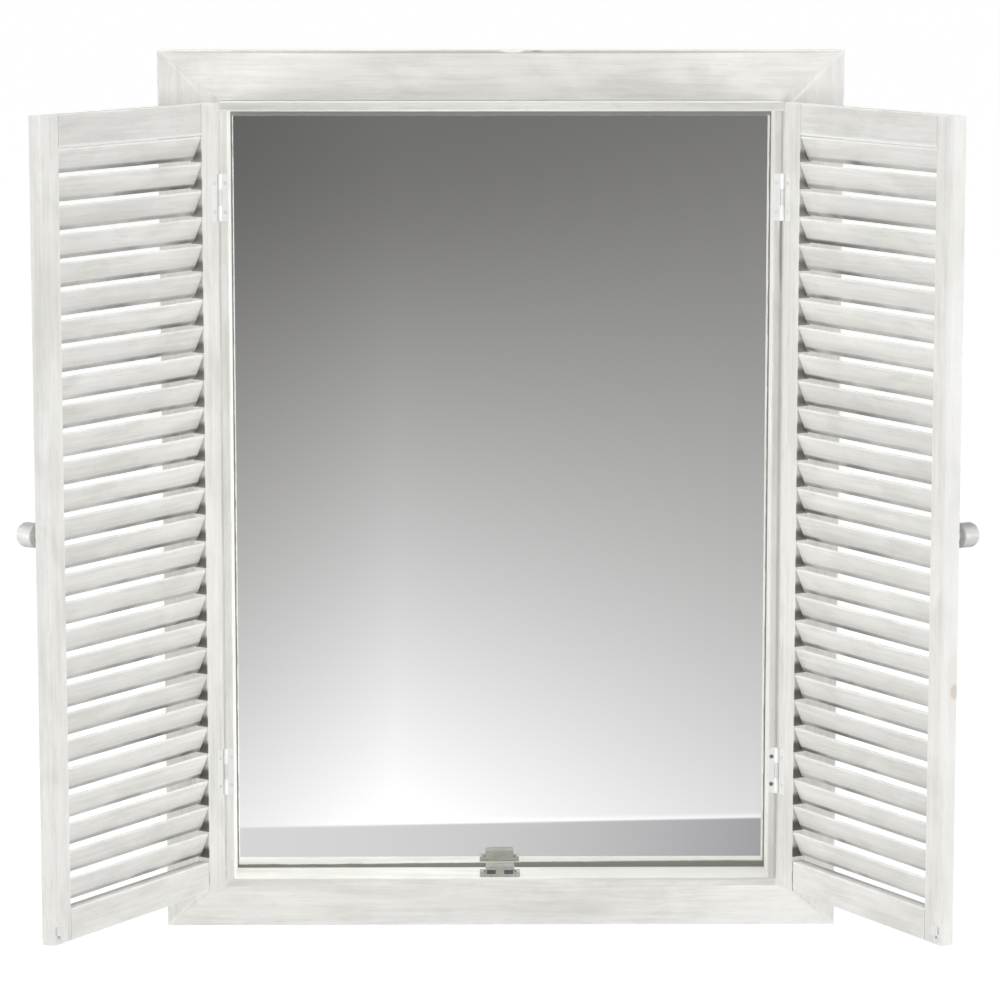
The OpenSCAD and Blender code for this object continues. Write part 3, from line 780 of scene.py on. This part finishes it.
@dataclass(frozen=True)
class PaintedScrews(Finish):
    """Screw heads painted over with their hinge leaves, bare where the paint has gone."""

    slot: str
    bare_middle: Triple = (0.0, 0.0, 9.0)
    bare_half: Triple = (0.02, 0.05, 0.04)
    bare_core: float = 0.9
    paint: Colour = (0.74, 0.735, 0.71)
    worn_paint: Colour = (0.62, 0.61, 0.58)
    paint_share: float = 0.5
    metal: Colour = (0.20, 0.195, 0.175)
    light_metal: Colour = (0.30, 0.29, 0.265)
    metal_share: float = 0.6
    blotch: float = 260.0
    speck: float = 2600.0
    rough_span: Span = (0.42, 0.6)
    depth: float = 0.00005

    def material(self) -> bpy.types.Material:
        """Mixes paint and dark metal."""
        made, graph, shader = self.start(self.slot + "_finish")
        here = graph.here()
        spots = MOTTLE.use(graph, Vector=here, Blotch_Scale=self.blotch, Speck_Scale=self.speck)
        offset = graph.vector("DIVIDE", graph.vector("SUBTRACT", here, self.bare_middle), self.bare_half)
        bare = graph.span(graph.vector("LENGTH", offset), self.bare_core, 1.0, 1.0, 0.0)
        paint = graph.lay(self.paint, self.worn_paint, spots["Blotch"], self.paint_share)
        metal = graph.lay(self.metal, self.light_metal, spots["Blotch"], self.metal_share)
        rough = graph.span(spots["Blotch"], 0.0, 1.0, *self.rough_span)
        graph.fill(shader, Base_Color=graph.mix(bare, paint, metal), Roughness=rough)
        self.bump(graph, shader, spots["Speck"], self.depth)
        return made


@dataclass(frozen=True)
class SilveredGlass(Finish):
    """Mirror glass: silver with a thin line of painted shadow along the edges that show."""

    half_x: float
    top_z: float
    foot_z: float
    slot: str = "silvered_glass"
    top_margin: float = 0.0022
    top_reach: float = 0.0045
    top_share: float = 0.75
    side_reach: float = 0.0016
    side_share: float = 0.85
    foot_left: float = 0.0034
    foot_right: float = 0.0066
    foot_share: float = 0.92
    line_core: float = 0.7
    line_rough: float = 0.4
    ragged_scale: float = 60.0
    ragged_detail: float = 4.0
    ragged_rough: float = 0.6
    ragged_reach: float = 0.0016
    blotch: float = 5.0
    speck: float = 500.0
    silver: Colour = (0.925, 0.930, 0.925)
    haze: Colour = (0.80, 0.81, 0.80)
    haze_share: float = 0.02
    rough_span: Span = (0.004, 0.016)
    # Colour of the painted shadow line along the edges.
    edge: Colour = (0.19, 0.20, 0.165)

    def material(self) -> bpy.types.Material:
        """Mixes the silver and the painted shadow line at its edges, with a faint haze."""
        made, graph, shader = self.start(self.slot + "_finish", Metallic=1.0)
        here = graph.here()
        x, _, z = graph.split(here)
        side = graph.math("SUBTRACT", self.half_x, graph.math("ABSOLUTE", x))
        top = graph.math("SUBTRACT", self.top_z - self.top_margin, z)
        foot = graph.math("SUBTRACT", z, self.foot_z)
        ragged = graph.noise(here, self.ragged_scale, self.ragged_detail, self.ragged_rough)
        # A ragged shift of where the painted shadow line starts.
        darkening = graph.math("MULTIPLY_ADD", ragged, self.ragged_reach, -self.ragged_reach / 2)
        right = graph.span(x, -self.half_x, self.half_x)
        foot_reach = graph.math("MULTIPLY_ADD", right, self.foot_right - self.foot_left, self.foot_left)
        line = graph.most(
            self.edge_line(graph, graph.math("ADD", side, darkening), self.side_reach, self.side_share),
            self.edge_line(graph, graph.math("ADD", top, darkening), self.top_reach, self.top_share),
            self.edge_line(graph, graph.math("ADD", foot, darkening), foot_reach, self.foot_share),
        )
        spots = MOTTLE.use(graph, Vector=here, Blotch_Scale=self.blotch, Speck_Scale=self.speck)
        hazed = graph.lay(self.silver, self.haze, spots["Blotch"], self.haze_share)
        polish = graph.span(spots["Blotch"], 0.0, 1.0, *self.rough_span)
        rough = graph.math("MAXIMUM", polish, graph.math("MULTIPLY", line, self.line_rough))
        graph.fill(shader, Base_Color=graph.mix(line, hazed, self.edge), Roughness=rough)
        return made

    def edge_line(self, graph: Graph, near: Socket, reach: Feed, share: float) -> Socket:
        """Masks the painted shadow line along an edge, by the distance to it and the share of the silver it
        takes.
        """
        start = graph.math("MULTIPLY", reach, self.line_core)
        return graph.math("MULTIPLY", graph.span(near, start, reach, 1.0, 0.0), share)


RAW_BEECH = PlainFinish(
    "raw_beech", colour=(0.55, 0.40, 0.23), dark=(0.44, 0.30, 0.16),
    smooth=0.6, rough=0.75, blotch=90.0, speck=900.0, speck_share=0.3,
)
HARDBOARD = PlainFinish(
    "fibreboard", colour=(0.235, 0.140, 0.070), dark=(0.190, 0.108, 0.052), stretch=(1.0, 1.0, 0.7),
    smooth=0.55, rough=0.75, blotch=90.0, speck=900.0, speck_share=0.6, depth=0.0002,
)
WHITE_METAL = PlainFinish(
    "white_metal", colour=(0.80, 0.80, 0.775), dark=(0.70, 0.70, 0.67),
    smooth=0.38, rough=0.55, blotch=70.0, speck=1500.0, speck_share=0.2,
)
# A lighter copy of the white metal for the frame's hinge leaves: a painted highlight.
HIGHLIT_LEAF = replace(
    WHITE_METAL, slot="bright_leaf", colour=(0.985, 0.985, 0.975), dark=(0.94, 0.94, 0.93),
    smooth=0.30, rough=0.45,
)
# The knobs' darkened top and bottom faces are a painted dark reflection.
PEWTER = PlainFinish(
    "pewter", colour=(0.70, 0.70, 0.685), dark=(0.58, 0.58, 0.565),
    smooth=0.30, rough=0.42, blotch=120.0, speck=1800.0, speck_share=0.35, poles=0.62,
)
# A lighter copy of the pewter for the left knob: painted light that lifts it in the shade of the hinge side.
LIT_PEWTER = replace(
    PEWTER, slot="light_pewter", colour=(0.83, 0.83, 0.815), dark=(0.70, 0.70, 0.685), poles=0.45,
)
ZINC = PlainFinish(
    "zinc_steel", colour=(0.58, 0.585, 0.59), dark=(0.42, 0.425, 0.43), metallic=1.0,
    smooth=0.28, rough=0.45, blotch=160.0, speck=2500.0, speck_share=0.25,
)
# The catch's darkened top and bottom faces are painted shade.
GREY_PLASTIC = PlainFinish(
    "grey_plastic", colour=(0.44, 0.445, 0.39), dark=(0.33, 0.335, 0.295),
    smooth=0.42, rough=0.6, blotch=140.0, speck=2600.0, speck_share=0.3, poles=0.35,
)
FERRITE = PlainFinish(
    "ferrite", colour=(0.105, 0.105, 0.098), dark=(0.07, 0.07, 0.066),
    smooth=0.5, rough=0.7, blotch=200.0, speck=2000.0, speck_share=0.4,
)


def dress(node: str, finish: Finish) -> None:
    """Gives a CAD node its finish.

    Args:
        node: The node's name.
        finish: The finish.
    """
    made = finish.material()
    piece = frame["nodes"][node]
    for place in piece.material_slots:
        place.material = made
    if not piece.material_slots:
        piece.data.materials.append(made)
    log.info("%s: %s", node, made.name)


# ---- Ways the wood lies ----


def turned(grain: Grain, before: Matrix) -> Matrix:
    """Turns a frame so that X runs along the grain.

    Args:
        grain: The grain's axis in the frame that before leads to.
        before: Matrix from the row frame to an upright frame.

    Returns:
        Matrix from the row frame to the piece's frame.
    """
    if grain is Grain.LEVEL:
        return before
    return Matrix.Rotation(math.radians(90.0), 4, "Y") @ before


@dataclass(frozen=True)
class Board:
    """How a board is dressed: its grain, the seed of its pattern, its tone, its dark joints and the painted
    shade on its inner side face.
    """

    grain: Grain
    seed: float
    tone: float
    joint_line: float = 0.0
    side_shade: float = 0.0

    def wash(self, node: str, before: Matrix = Matrix.Identity(4), **more: object) -> None:
        """Dresses a CAD node as this board.

        Args:
            node: The node's name.
            before: Matrix from the row frame to the board's upright frame.
            **more: Other fields of the wood's finish.
        """
        block = Block.of(node, turned(self.grain, before))
        finish = WashedWood(
            node + "_wash", block, self.seed, self.tone,
            joint_line=self.joint_line, side_shade=self.side_shade, **more,
        )
        dress(node, finish)


# ---- Sub-assemblies ----


@dataclass
class OuterFrame:
    """The four flat boards with mitred corners, and the metal let into them."""

    mitre_light: float = 0.7
    boards: Dict[str, Board] = field(
        default_factory=lambda: {
            "outer_top_rail": Board(Grain.LEVEL, seed=1.0, tone=1.045),
            # The bottom board's higher tone is painted light, lifting it where the box above shades it.
            "outer_bottom_rail": Board(Grain.LEVEL, seed=4.0, tone=1.085),
            "outer_left_stile": Board(Grain.UPRIGHT, seed=7.0, tone=0.98),
            "outer_right_stile": Board(Grain.UPRIGHT, seed=11.0, tone=0.99),
        }
    )
    # Measured from the top board's upper front arris.
    arris: Mark = Mark((0.0, 0.0, -0.0015), (0.36, 0.004, 0.0017), (0.40, 0.395, 0.375), 0.75)
    nick: Mark = Mark((0.010, 0.0, 0.0), (0.013, 0.003, 0.0035), (0.86, 0.86, 0.84), 0.8)
    dent: Mark = Mark((0.031, 0.0, -0.001), (0.006, 0.003, 0.0014), (0.30, 0.29, 0.27), 0.7)
    hole: Mark = Mark((-0.259, 0.0, -0.045), (0.0028, 0.003, 0.0028), (0.22, 0.215, 0.20), 0.8)
    stain: Mark = Mark((0.2555, 0.0, -0.043), (0.013, 0.004, 0.014), (0.70, 0.615, 0.56), 0.35)
    # Painted light along the top board's lower edge, lifting the contact shade where it meets the box.
    foot: Mark = Mark((0.0, 0.0, -0.0434), (0.8, 0.01, 0.0016), (0.93, 0.925, 0.90), 0.8)

    def build(self) -> None:
        """Dresses the boards, plates and brads."""
        for node, board in self.boards.items():
            board.wash(node, mitre_light=self.mitre_light, marks=self.marks(node))
        for node in ("mitre_plates", "frame_brads"):
            dress(node, ZINC)

    def marks(self, node: str) -> Tuple[Mark, ...]:
        """Returns the marks on a board, of which only the top board has any."""
        if node != "outer_top_rail":
            return ()
        low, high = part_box(node)
        measured = (self.arris, self.nick, self.dent, self.hole, self.stain, self.foot)
        return tuple(mark.at(y=low.y, z=high.z) for mark in measured)


@dataclass
class BoxFrame:
    """The four thin boards that stand forward round the glass."""

    rub: float = 0.35
    boards: Dict[str, Board] = field(
        default_factory=lambda: {
            "box_top_rail": Board(Grain.LEVEL, seed=15.0, tone=1.06),
            "box_bottom_rail": Board(Grain.LEVEL, seed=18.0, tone=1.06),
            # The left jamb's high tone is painted light, lifting its front where the open shutter shades it.
            "box_left_jamb": Board(Grain.UPRIGHT, seed=21.0, tone=1.16),
            # The right jamb's inner side face is darkened: painted shade.
            "box_right_jamb": Board(Grain.UPRIGHT, seed=24.0, tone=1.01, side_shade=0.10),
        }
    )
    # Painted shade on the top board's top face.
    top_face: Mark = Mark((0.0, 0.0, 0.0), (0.8, 0.06, 0.0014), (0.66, 0.655, 0.63), 1.0)
    # Painted highlight along the top board's lower front arris.
    under_arris: Mark = Mark((0.0, 0.0, 0.0), (0.8, 0.05, 0.0019), (0.97, 0.97, 0.955), 0.95)
    # Painted shade on the right half of the bottom board's top face.
    bottom_face: Mark = Mark((0.15, 0.0, 0.0), (0.17, 0.06, 0.0035), (0.66, 0.655, 0.63), 0.75)
    # Painted shadow in the gap by the right jamb's front arris, darkest below the upper hinge.
    jamb_arris: Mark = Mark((-0.0004, 0.0, -0.371), (0.0026, 0.010, 0.8), (0.36, 0.355, 0.32), 0.42)
    below_hinge: Mark = Mark((-0.0004, 0.0, -0.150), (0.0028, 0.010, 0.050), (0.22, 0.215, 0.18), 0.60)

    def build(self) -> None:
        """Dresses the boards and the brads at their corners."""
        for node, board in self.boards.items():
            board.wash(node, rub=self.rub, marks=self.marks(node))
        dress("box_corner_brads", ZINC)

    def marks(self, node: str) -> Tuple[Mark, ...]:
        """Returns the painted shade on the level boards' top faces, the painted highlight on the top board's
        lower arris, and the painted shadow along the right jamb's arris and below its hinge.
        """
        low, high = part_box(node)
        middle_y = (low.y + high.y) / 2
        return {
            "box_top_rail": (self.top_face.at(y=middle_y, z=high.z), self.under_arris.at(y=low.y, z=low.z)),
            "box_bottom_rail": (self.bottom_face.at(y=middle_y, z=high.z),),
            "box_right_jamb": (self.jamb_arris.at(x=high.x, y=low.y), self.below_hinge.at(x=high.x, y=low.y)),
        }.get(node, ())


@dataclass
class GlassAndBack:
    """The mirror glass, the panel behind it and the points that hold the panel."""

    def build(self) -> None:
        """Dresses the glass by the opening that the box leaves, and what lies behind it."""
        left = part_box("box_left_jamb")[1]
        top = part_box("box_top_rail")[0]
        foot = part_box("box_bottom_rail")[1]
        dress("mirror_glass", SilveredGlass(-left.x, top.z, foot.z))
        dress("backing_panel", HARDBOARD)
        dress("backing_points", ZINC)


@dataclass
class Hangers:
    """The two keyhole plates in the back and their screws."""

    def build(self) -> None:
        """Dresses the plates and screws."""
        for node in ("hanger_plates", "hanger_screws"):
            dress(node, ZINC)


@dataclass
class Catch:
    """The magnetic catch on the box's bottom board."""

    def build(self) -> None:
        """Dresses the catch's housing, magnets, pole plates and screws."""
        dress("catch_housing", GREY_PLASTIC)
        dress("catch_magnets", FERRITE)
        for node in ("catch_poles", "catch_screws"):
            dress(node, ZINC)


@dataclass
class Hinges:
    """The frame's halves of the hinges on both sides, with their pins and screws."""

    leaf_height: float = 0.04
    # The frame leaves' screws take the leaves' painted highlight.
    paint: Colour = (0.95, 0.95, 0.94)

    def build(self) -> None:
        """Dresses the leaves, pins and screws, with bare screws in the lower right leaf."""
        for side in Side:
            dress(side.word + "_frame_leaves", HIGHLIT_LEAF)
            dress(side.word + "_hinge_pins", ZINC)
        low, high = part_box("right_frame_leaves")
        lower_leaf = ((low.x + high.x) / 2, low.y, low.z + self.leaf_height / 2)
        dress("frame_leaf_screws", PaintedScrews("frame_leaf_screws", lower_leaf, paint=self.paint))


@dataclass
class Shutter:
    """One louvred shutter, with its knob, strike and hinge leaves."""

    side: Side
    seed: float
    hinge_tone: float
    top_tone: float
    foot_joint: float
    knob: PlainFinish
    free_marks: Tuple[Mark, ...] = ()
    free_tone: float = 1.01
    foot_tone: float = 0.97
    slat_tone: float = 1.0
    top_joint: float = 0.25
    # Share of the painted shade on the hinge stile's inner side face, in wedges under the slats' ends.
    side_shade: float = 1.0
    rub: float = 0.3
    # Painted light along the top rail's lower arris and the first slat's top edge, over the shadow in the
    # crack between them.
    highlit_arris: Mark = Mark((0.0, 0.0, 0.0), (2.0, 2.0, 0.0026), (0.98, 0.975, 0.96), 0.85)
    slat_count: int = 27
    slat_height: float = 0.0214
    seed_step: float = 3.0

    def build(self) -> None:
        """Dresses the shutter's wood and metal."""
        closed = self.to_closed()
        row = self.slat_row()
        for part, board in self.boards().items():
            if part == "louvres":
                board.wash(self.node(part), closed, slats=row, marks=self.marks(part))
            else:
                board.wash(self.node(part), closed, rub=self.rub, slats_beside=row, marks=self.marks(part))
        metal = {
            "rail_dowels": RAW_BEECH,
            "knob": self.knob,
            "knob_stud": ZINC,
            "strike_plate": WHITE_METAL,
            "strike_screw": ZINC,
            "shutter_leaves": WHITE_METAL,
            "leaf_screws": PaintedScrews(self.node("leaf_screws")),
        }
        for part, finish in metal.items():
            dress(self.node(part), finish)

    def boards(self) -> Dict[str, Board]:
        """Returns how the shutter's wooden parts are dressed."""
        boards = {
            "hinge_stile": Board(Grain.UPRIGHT, self.seed, self.hinge_tone, side_shade=self.side_shade),
            "free_stile": Board(Grain.UPRIGHT, self.seed, self.free_tone),
            "top_rail": Board(Grain.LEVEL, self.seed, self.top_tone, self.top_joint),
            "bottom_rail": Board(Grain.LEVEL, self.seed, self.foot_tone, self.foot_joint),
            "louvres": Board(Grain.LEVEL, self.seed, self.slat_tone),
        }
        return {
            part: replace(board, seed=board.seed + number * self.seed_step)
            for number, (part, board) in enumerate(boards.items())
        }

    def marks(self, part: str) -> Tuple[Mark, ...]:
        """Returns the painted light along the top rail's lower arris and the first slat's top edge, and the
        marks on the free stile.
        """
        low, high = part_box(self.node(part))
        return {
            "top_rail": (self.highlit_arris.at(z=low.z),),
            "louvres": (self.highlit_arris.at(z=high.z),),
            "free_stile": self.free_marks,
        }.get(part, ())

    def node(self, part: str) -> str:
        """Returns the CAD node's name of a part."""
        return self.side.word + "_" + part

    def slat_row(self) -> SlatRow:
        """Returns the shutter's slats, measured on their node."""
        low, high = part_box(self.node("louvres"))
        pitch = (high.z - low.z - self.slat_height) / (self.slat_count - 1)
        return SlatRow(pitch, high.z + (pitch - self.slat_height) / 2, self.slat_height)

    def to_closed(self) -> Matrix:
        """Returns the matrix from the row frame to the closed right shutter's frame, on its hinge axis."""
        joint = next(joint for joint in frame["joints"] if joint["name"].startswith(self.side.word))
        opened = math.radians(abs(joint["range_deg"][0]))
        axis = Vector((abs(joint["pos_m"][0]), joint["pos_m"][1], 0.0))
        flip = Matrix.Diagonal((self.side.value, 1.0, 1.0, 1.0))
        return Matrix.Rotation(-opened, 4, "Z") @ Matrix.Translation(-axis) @ flip


# Painted light down the right free stile's outer edge.
FREE_EDGE = Mark((0.3738, -0.2570, -0.30), (0.013, 0.013, 0.75), (0.95, 0.945, 0.925), 0.5)
FREE_STAIN = Mark((0.3750, -0.2562, -0.500), (0.0075, 0.0075, 0.055), (0.82, 0.775, 0.73), 0.55)
FREE_KNOT = Mark((0.3757, -0.2560, -0.5021), (0.0054, 0.0054, 0.0085), (0.50, 0.435, 0.375), 0.5)
LEFT_SHUTTER = Shutter(
    Side.LEFT, seed=30.0, hinge_tone=0.965, top_tone=0.89, foot_joint=0.25, knob=LIT_PEWTER,
)
RIGHT_SHUTTER = Shutter(
    Side.RIGHT, seed=60.0, hinge_tone=0.945, top_tone=0.93, foot_joint=0.85, knob=PEWTER,
    free_marks=(FREE_EDGE, FREE_STAIN, FREE_KNOT),
)


# ---- Studio ----


@dataclass(frozen=True)
class Sweep:
    """The studio as the eye finds it in the glass: a pale table, white beyond it and grey far off.

    Heights are those on the glass above the mirror's foot, and levels are screen levels, with white at 1.
    """

    eye_back: float
    floor_drop: float
    eye_height: float = 0.9244
    glass_left: Span = (0.0565, 0.237)
    glass_width: Span = (0.133, 0.474)
    table_height: float = 0.0884
    table_rise: float = 0.0082
    table_left: float = 0.84
    table_fall: float = 0.21
    table_power: float = 2.0
    table_soft: float = 0.0013
    rim_reach: float = 0.0065
    rim_light: float = 0.10
    white_level: float = 0.976
    white_height: float = 0.154
    dark_level: float = 0.435
    dark_blend: float = 0.12
    most_level: float = 1.01
    level_slope: float = 1.027
    pivot_height: float = 0.535
    slant: float = 0.53
    slant_start: float = 0.30
    vignette: float = 0.36
    outside_level: float = 0.93
    aside_span: Span = (0.52, 1.9)
    near_span: Span = (0.3, 1.9)
    screen_power: float = 2.2
    silver: float = 0.925
    warmth: float = 0.06
    green_share: float = 0.985
    table_blue: float = 0.02

    def colour(self, graph: Graph) -> Socket:
        """Grades the floor so that each place shows in the glass as the studio did.

        Args:
            graph: The floor's tree.

        Returns:
            The floor's colour as polished surfaces see it.
        """
        x, y, _ = graph.split(graph.here())
        away = graph.math("MAXIMUM", graph.math("MULTIPLY", y, -1.0), 0.0)
        left = graph.math("MULTIPLY_ADD", away, *self.glass_left)
        width = graph.math("MULTIPLY_ADD", away, *self.glass_width)
        spread = graph.math("DIVIDE", graph.math("ADD", x, left), width)
        across = graph.math("ADD", spread, 0.0, clamp=True)
        share = graph.math("DIVIDE", away, graph.math("ADD", away, self.eye_back))
        height = graph.math("MULTIPLY_ADD", share, self.eye_height + self.floor_drop, -self.floor_drop)
        edge = graph.math("MULTIPLY_ADD", across, self.table_rise, self.table_height)
        past = graph.math("SUBTRACT", height, edge)
        beyond = graph.span(past, -self.table_soft, self.table_soft)
        curve = graph.math("POWER", across, self.table_power)
        table = graph.math("MULTIPLY_ADD", curve, -self.table_fall, self.table_left)
        rim = graph.math("MULTIPLY", graph.span(past, 0.0, self.rim_reach, self.rim_light, 0.0), across)
        level = graph.math("ADD", self.level(graph, height, across), rim)
        level = graph.blend(beyond, table, level)
        off_middle = graph.math("ABSOLUTE", graph.math("SUBTRACT", spread, 0.5))
        aside = graph.span(off_middle, *self.aside_span)
        near = graph.span(away, *self.near_span, 1.0, 0.0)
        level = graph.blend(graph.math("MAXIMUM", aside, near), level, self.outside_level)
        light = graph.math("DIVIDE", graph.math("POWER", level, self.screen_power), self.silver)
        warm = graph.math("MULTIPLY_ADD", level, self.warmth, 1.0 - self.warmth)
        cool = graph.math("MULTIPLY", graph.math("SUBTRACT", 1.0, beyond), self.table_blue)
        blue = graph.math("ADD", graph.math("MULTIPLY", light, warm), graph.math("MULTIPLY", cool, across))
        return graph.join(light, graph.math("MULTIPLY", light, self.green_share), blue)

    def level(self, graph: Graph, height: Socket, across: Socket) -> Socket:
        """Works out how light the studio is beyond the table.

        Args:
            graph: The floor's tree.
            height: Height on the glass where the eye sees this place.
            across: Place across the glass, from 0 on the left to 1.

        Returns:
            The level.
        """
        rightward = graph.math("MAXIMUM", graph.math("SUBTRACT", across, self.slant_start), 0.0)
        squeeze = graph.math("MULTIPLY_ADD", rightward, -self.slant, 1.0)
        above = graph.math("SUBTRACT", height, self.pivot_height)
        moved = graph.math("MULTIPLY_ADD", above, squeeze, self.pivot_height)
        rise = graph.math("MULTIPLY", graph.math("SUBTRACT", moved, self.white_height), -self.level_slope)
        lit = graph.math("ADD", rise, self.white_level)
        level = graph.math("SMOOTH_MAX", lit, self.dark_level, self.dark_blend)
        leftward = graph.math("MAXIMUM", graph.math("SUBTRACT", self.slant_start, across), 0.0)
        dimmed = graph.math("MULTIPLY_ADD", leftward, -self.vignette, 1.0)
        return graph.math("MINIMUM", graph.math("MULTIPLY", level, dimmed), self.most_level)


@dataclass(frozen=True)
class Floor:
    """The pale floor: white to the camera with the object's shadow, and graded in the glass."""

    height: float
    sweep: Sweep
    half: float = 60.0
    white: Colour = (1.0, 1.0, 1.0)
    matt: Colour = (0.35, 0.35, 0.35)
    bounce: Colour = (0.85, 0.85, 0.85)
    glow_radii: Span = (1.0, 4.0)
    glow_levels: Span = (0.78, 0.965)

    def build(self) -> None:
        """Adds the floor."""
        mesh = bpy.data.meshes.new("floor")
        square = ((-1, -1), (1, -1), (1, 1), (-1, 1))
        corners = [(x * self.half, y * self.half, self.height) for x, y in square]
        mesh.from_pydata(corners, [], [(0, 1, 2, 3)])
        mesh.materials.append(self.material())
        floor = bpy.data.objects.new("floor", mesh)
        bpy.context.scene.collection.objects.link(floor)

    def material(self) -> bpy.types.Material:
        """Returns a material with one surface for the camera, one for polished surfaces and one for light."""
        made = bpy.data.materials.new("pale_floor")
        made.use_nodes = True
        tree = made.node_tree
        tree.nodes.remove(tree.nodes["Principled BSDF"])
        graph = Graph(tree)
        rays = graph.node("ShaderNodeLightPath").outputs
        glow = graph.span(graph.vector("LENGTH", graph.here()), *self.glow_radii, *self.glow_levels)
        matt = graph.surface("ShaderNodeBsdfDiffuse", self.matt)
        lit = graph.surface("ShaderNodeEmission", self.white, glow)
        shadowed = graph.surface("ShaderNodeAddShader", matt, lit)
        pale = graph.surface("ShaderNodeBsdfDiffuse", self.bounce)
        shown = graph.surface("ShaderNodeEmission", self.sweep.colour(graph))
        polished = graph.most(rays["Is Glossy Ray"], rays["Is Transmission Ray"])
        seen = graph.surface("ShaderNodeMixShader", rays["Is Camera Ray"], pale, shadowed)
        last = graph.surface("ShaderNodeMixShader", polished, seen, shown)
        graph.feed(tree.nodes["Material Output"].inputs["Surface"], last)
        return made


@dataclass(frozen=True)
class Lamp:
    """A square soft lamp that faces the mirror's middle, from which its place is measured."""

    name: str
    place: Vector
    size: float
    power: float

    def build(self, middle: Vector) -> None:
        """Adds the lamp.

        Args:
            middle: The mirror's middle.
        """
        data = bpy.data.lights.new(self.name, "AREA")
        data.size = self.size
        data.energy = self.power
        lamp = bpy.data.objects.new(self.name, data)
        lamp.location = self.place + middle
        lamp.rotation_euler = self.place.to_track_quat("Z", "Y").to_euler()
        bpy.context.scene.collection.objects.link(lamp)


@dataclass
class Studio:
    """The camera, the lamps, the white surround and the floor that the mirror shows."""

    eye: Triple = (-0.0355, -3.5746, 0.5324)
    pitch: float = 8.586
    yaw: float = 0.557
    focal_px: float = 4058.0
    image_px: float = 1000.0
    sensor: float = 36.0
    ambient: float = 0.09
    floor_drop: float = 0.50
    lamp_power: float = 172.0
    lamp_reach: float = 5.0
    lamp_size: float = 2.0
    lamp_azimuth: float = 58.0
    lamp_elevation: float = -5.0
    overhead_power: float = 150.0
    overhead_size: float = 3.0
    overhead_place: Triple = (0.0, -0.9, 4.0)

    def build(self) -> None:
        """Sets up everything that isn't the object."""
        low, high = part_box("outer_left_stile")
        middle = Vector((0.0, 0.0, (low.z + high.z) / 2))
        self.add_camera(middle)
        self.add_world()
        Floor(low.z - self.floor_drop, Sweep(-self.eye[1], self.floor_drop)).build()
        for lamp in self.lamps():
            lamp.build(middle)
        bpy.context.scene.view_settings.view_transform = "Standard"

    def lamps(self) -> List[Lamp]:
        """Returns a lamp at each side and one overhead."""
        azimuth, elevation = math.radians(self.lamp_azimuth), math.radians(self.lamp_elevation)
        out, up = math.cos(elevation) * self.lamp_reach, math.sin(elevation) * self.lamp_reach
        found = []
        for side in Side:
            place = Vector((side.value * math.sin(azimuth) * out, -math.cos(azimuth) * out, up))
            found.append(Lamp(side.word + "_softbox", place, self.lamp_size, self.lamp_power))
        overhead = Vector(self.overhead_place)
        return found + [Lamp("overhead_softbox", overhead, self.overhead_size, self.overhead_power)]

    def add_camera(self, middle: Vector) -> None:
        """Adds the camera at the photograph's place.

        Args:
            middle: The mirror's middle.
        """
        data = bpy.data.cameras.new("camera")
        data.sensor_width = self.sensor
        data.lens = self.focal_px / self.image_px * self.sensor
        camera = bpy.data.objects.new("camera", data)
        pitch, yaw = math.radians(self.pitch), math.radians(self.yaw)
        ahead = Vector((math.sin(yaw) * math.cos(pitch), math.cos(yaw) * math.cos(pitch), -math.sin(pitch)))
        camera.location = Vector(self.eye) + middle
        camera.rotation_euler = ahead.to_track_quat("-Z", "Y").to_euler()
        bpy.context.scene.collection.objects.link(camera)
        bpy.context.scene.camera = camera

    def add_world(self) -> None:
        """Adds a world that is white to look at and softer as a light."""
        world = bpy.data.worlds.new("studio")
        bpy.context.scene.world = world
        world.use_nodes = True
        graph = Graph(world.node_tree)
        rays = graph.node("ShaderNodeLightPath").outputs
        seen = graph.most(rays["Is Camera Ray"], rays["Is Glossy Ray"], rays["Is Transmission Ray"])
        strength = graph.span(seen, 0.0, 1.0, self.ambient, 1.0)
        graph.fill(world.node_tree.nodes["Background"], Color=(1.0, 1.0, 1.0), Strength=strength)


def main() -> None:
    """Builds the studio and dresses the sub-assemblies in order."""
    logging.basicConfig(level=logging.INFO, format="%(message)s")
    Studio().build()
    OuterFrame().build()
    BoxFrame().build()
    GlassAndBack().build()
    Hangers().build()
    Catch().build()
    Hinges().build()
    LEFT_SHUTTER.build()
    RIGHT_SHUTTER.build()


if __name__ == "__main__":
    main()
